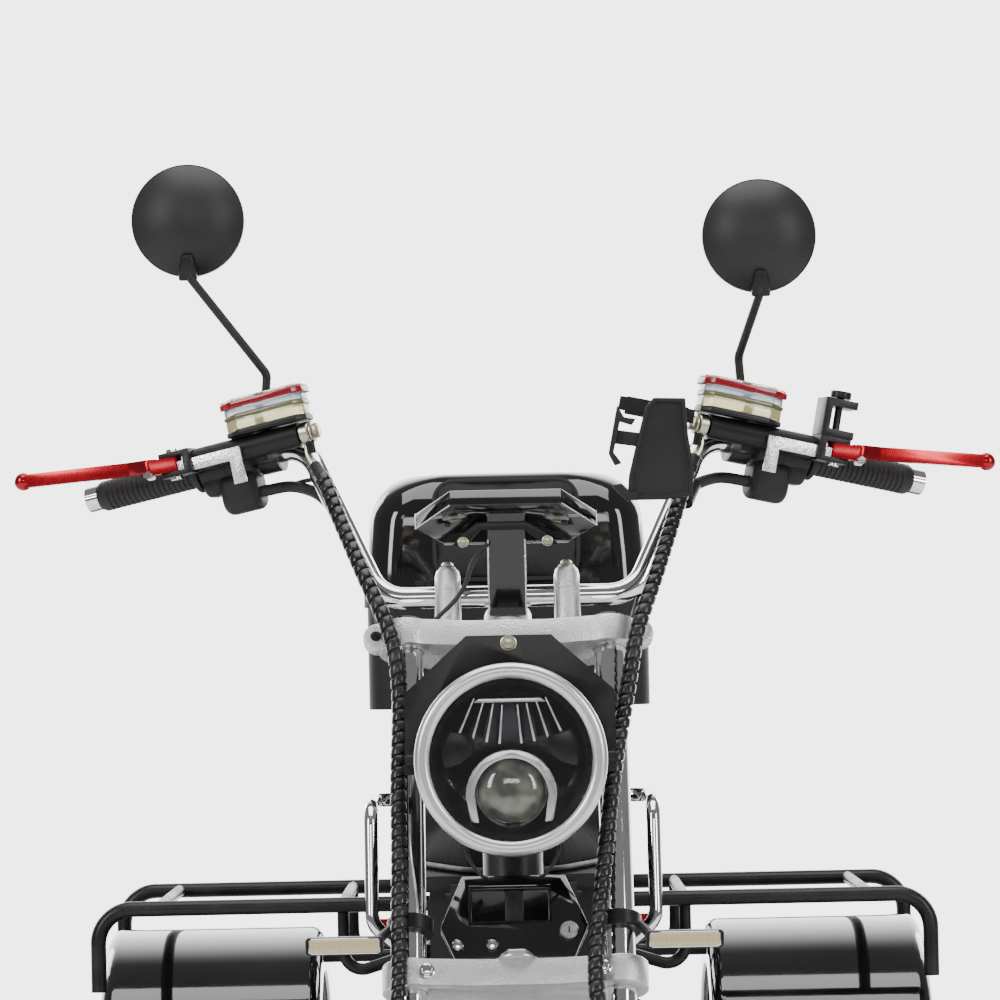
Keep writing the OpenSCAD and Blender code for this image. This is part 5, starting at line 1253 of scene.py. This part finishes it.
settle(joined(signal_parts), "slim_turn_signals", "steering", smooth=32, replaces=("turn_signals",))

# %% [markdown]
# **The phone holder** is a shallow tray that is turned partly away from the front, with sprung claws at its edges. The
# tray is one plate whose face is inset and pushed back, so that a rim stands round it.

# %% Phone holder
TRAY_Y = -0.345
AXIS_X, HORIZON_Y = 508, 624


def seen(px, py):
    """A place on the tray's plane that the camera sees at this pixel of the photograph's frame."""
    scale = FOCAL_PIXELS / (TRAY_Y - CAMERA_Y)
    return ((px - AXIS_X) / scale, HORIZON_Z + (HORIZON_Y - py) / scale)


tray_outline = [seen(*p) for p in ((630, 503), (668, 503), (695, 500), (697, 470), (692, 440), (690, 402), (658, 401),
                                   (650, 410), (640, 446), (632, 478))]
tray = plate(tray_outline, 0.012, bevel=0.0)
edit_faces(tray, lambda face: face.normal.z > 0.9)
bpy.ops.mesh.inset(thickness=0.0045)
bpy.ops.mesh.extrude_region_move(TRANSFORM_OT_translate={"value": (0, 0, -0.005)})
end_edit()
modify(tray, "BEVEL", width=0.0012, segments=2, limit_method="ANGLE", angle_limit=math.radians(35))
tray = at_place(tray, move(0, TRAY_Y + 0.006, 0) @ UPRIGHT)
holder_parts = [painted(tray, PLASTIC)]
for px in (((622, 408), (628, 420), (640, 422), (636, 428), (624, 424), (617, 455), (625, 466), (618, 468), (612, 456),
            (621, 410)),
           ((615, 488), (624, 486), (634, 496), (640, 494), (640, 502), (630, 504), (618, 492))):
    claw = plate([seen(*p) for p in reversed(px)], 0.014, move(0, TRAY_Y + 0.004, 0) @ UPRIGHT, bevel=0.001)
    holder_parts.append(painted(claw, PLASTIC))
arm = plate([seen(*p) for p in ((618, 432), (618, 446), (645, 450), (645, 436))], 0.006,
            move(0, TRAY_Y + 0.002, 0) @ UPRIGHT)
holder_parts.append(painted(arm, PLASTIC))
ring_and_arm = own_copy("phone_holder")
bpy.ops.object.mode_set(mode="EDIT")
bpy.ops.mesh.select_all(action="SELECT")
bpy.ops.mesh.bisect(plane_co=(0, TRAY_Y + 0.022, 0), plane_no=(0, -1, 0), use_fill=True, clear_outer=True)
bpy.ops.object.mode_set(mode="OBJECT")
holder_parts.append(painted(ring_and_arm, DARK_PLASTIC))
reach = [v.co.copy() for v in ring_and_arm.data.vertices if v.co.y < TRAY_Y + 0.0225]
arm_end = sum(reach, Vector()) / len(reach)
holder_parts.append(painted(wire([arm_end + Vector((0, 0.006, 0)), Vector((arm_end.x, TRAY_Y + 0.002, arm_end.z))],
                                 0.0068,
                                 smooth=False), DARK_PLASTIC))
print("the arm ends at", tuple(round(v, 3) for v in arm_end))
settle(joined(holder_parts), "phone_tray", "steering", smooth=32, replaces=("phone_holder",))

# %% [markdown]
# ** Switch housings** are two-part mouldings: a barrel that clamps round the bar, and a pod below it for the switches.
# Both are as round as their tools, with two rockers on the rider's side of each.

# %% Switch housings
ACROSS = Matrix(((0, 0, 1, 0), (1, 0, 0, 0), (0, 1, 0, 0), (0, 0, 0, 1)))
barrel_section = mm((11.5, 0), (19.5, 0), (22.2, 2.5), (22.8, 30), (22.4, 30.5), (22.4, 31.5), (22.8, 32), (22.2, 61),
                    (19.5, 63.5), (11.5, 63.5))
switch_parts = [painted(copies(turned(barrel_section, 40), at_grips(0.0548, 0, 0, SIDEWAYS)),
                        PLASTIC)]
pod_outline = rounded((-0.0215, -0.0535), (0.015, -0.008), 0.015, steps=6)
pod = plate(pod_outline, 0.042, bevel=0.0075, segments=4)
switch_parts.append(painted(copies(pod, at_grips(0.056, 0, 0, ACROSS)), PLASTIC))
collar_outline = rounded((-0.018, -0.03), (0.019, 0.012), 0.012, steps=5)
collar_block = plate(collar_outline, 0.022, bevel=0.004, segments=3)
switch_parts.append(painted(copies(collar_block, at_grips(0.094, 0, 0, ACROSS)), PLASTIC))
rocker = plate(rounded((-0.007, -0.005), (0.007, 0.005), 0.002, steps=3), 0.007, bevel=0.0014)
rocker_at = [g @ move(x, 0.013, z) @ turn(-90, "X") for g in BOTH_GRIPS for x, z in ((0.07, -0.038), (0.086, -0.02))]
switch_parts.append(painted(copies(rocker, rocker_at), DARK_PLASTIC))
settle(joined(switch_parts), "moulded_switches", "steering", smooth=36, replaces=("switch_housings",))

# %% [markdown]
# CAD nodes come in as loose triangles, so each is shaded smooth by angle here: round tubes look round and sharp
# edges stay sharp. Only the shading changes and every vertex stays where the CAD put it.

# %% Smooth the nodes
deselect()
for node in nodes.values():
    node.select_set(True)
    bpy.context.view_layer.objects.active = node
bpy.ops.object.shade_smooth_by_angle(angle=math.radians(32))
deselect()
print("smoothed", len(nodes), "nodes")
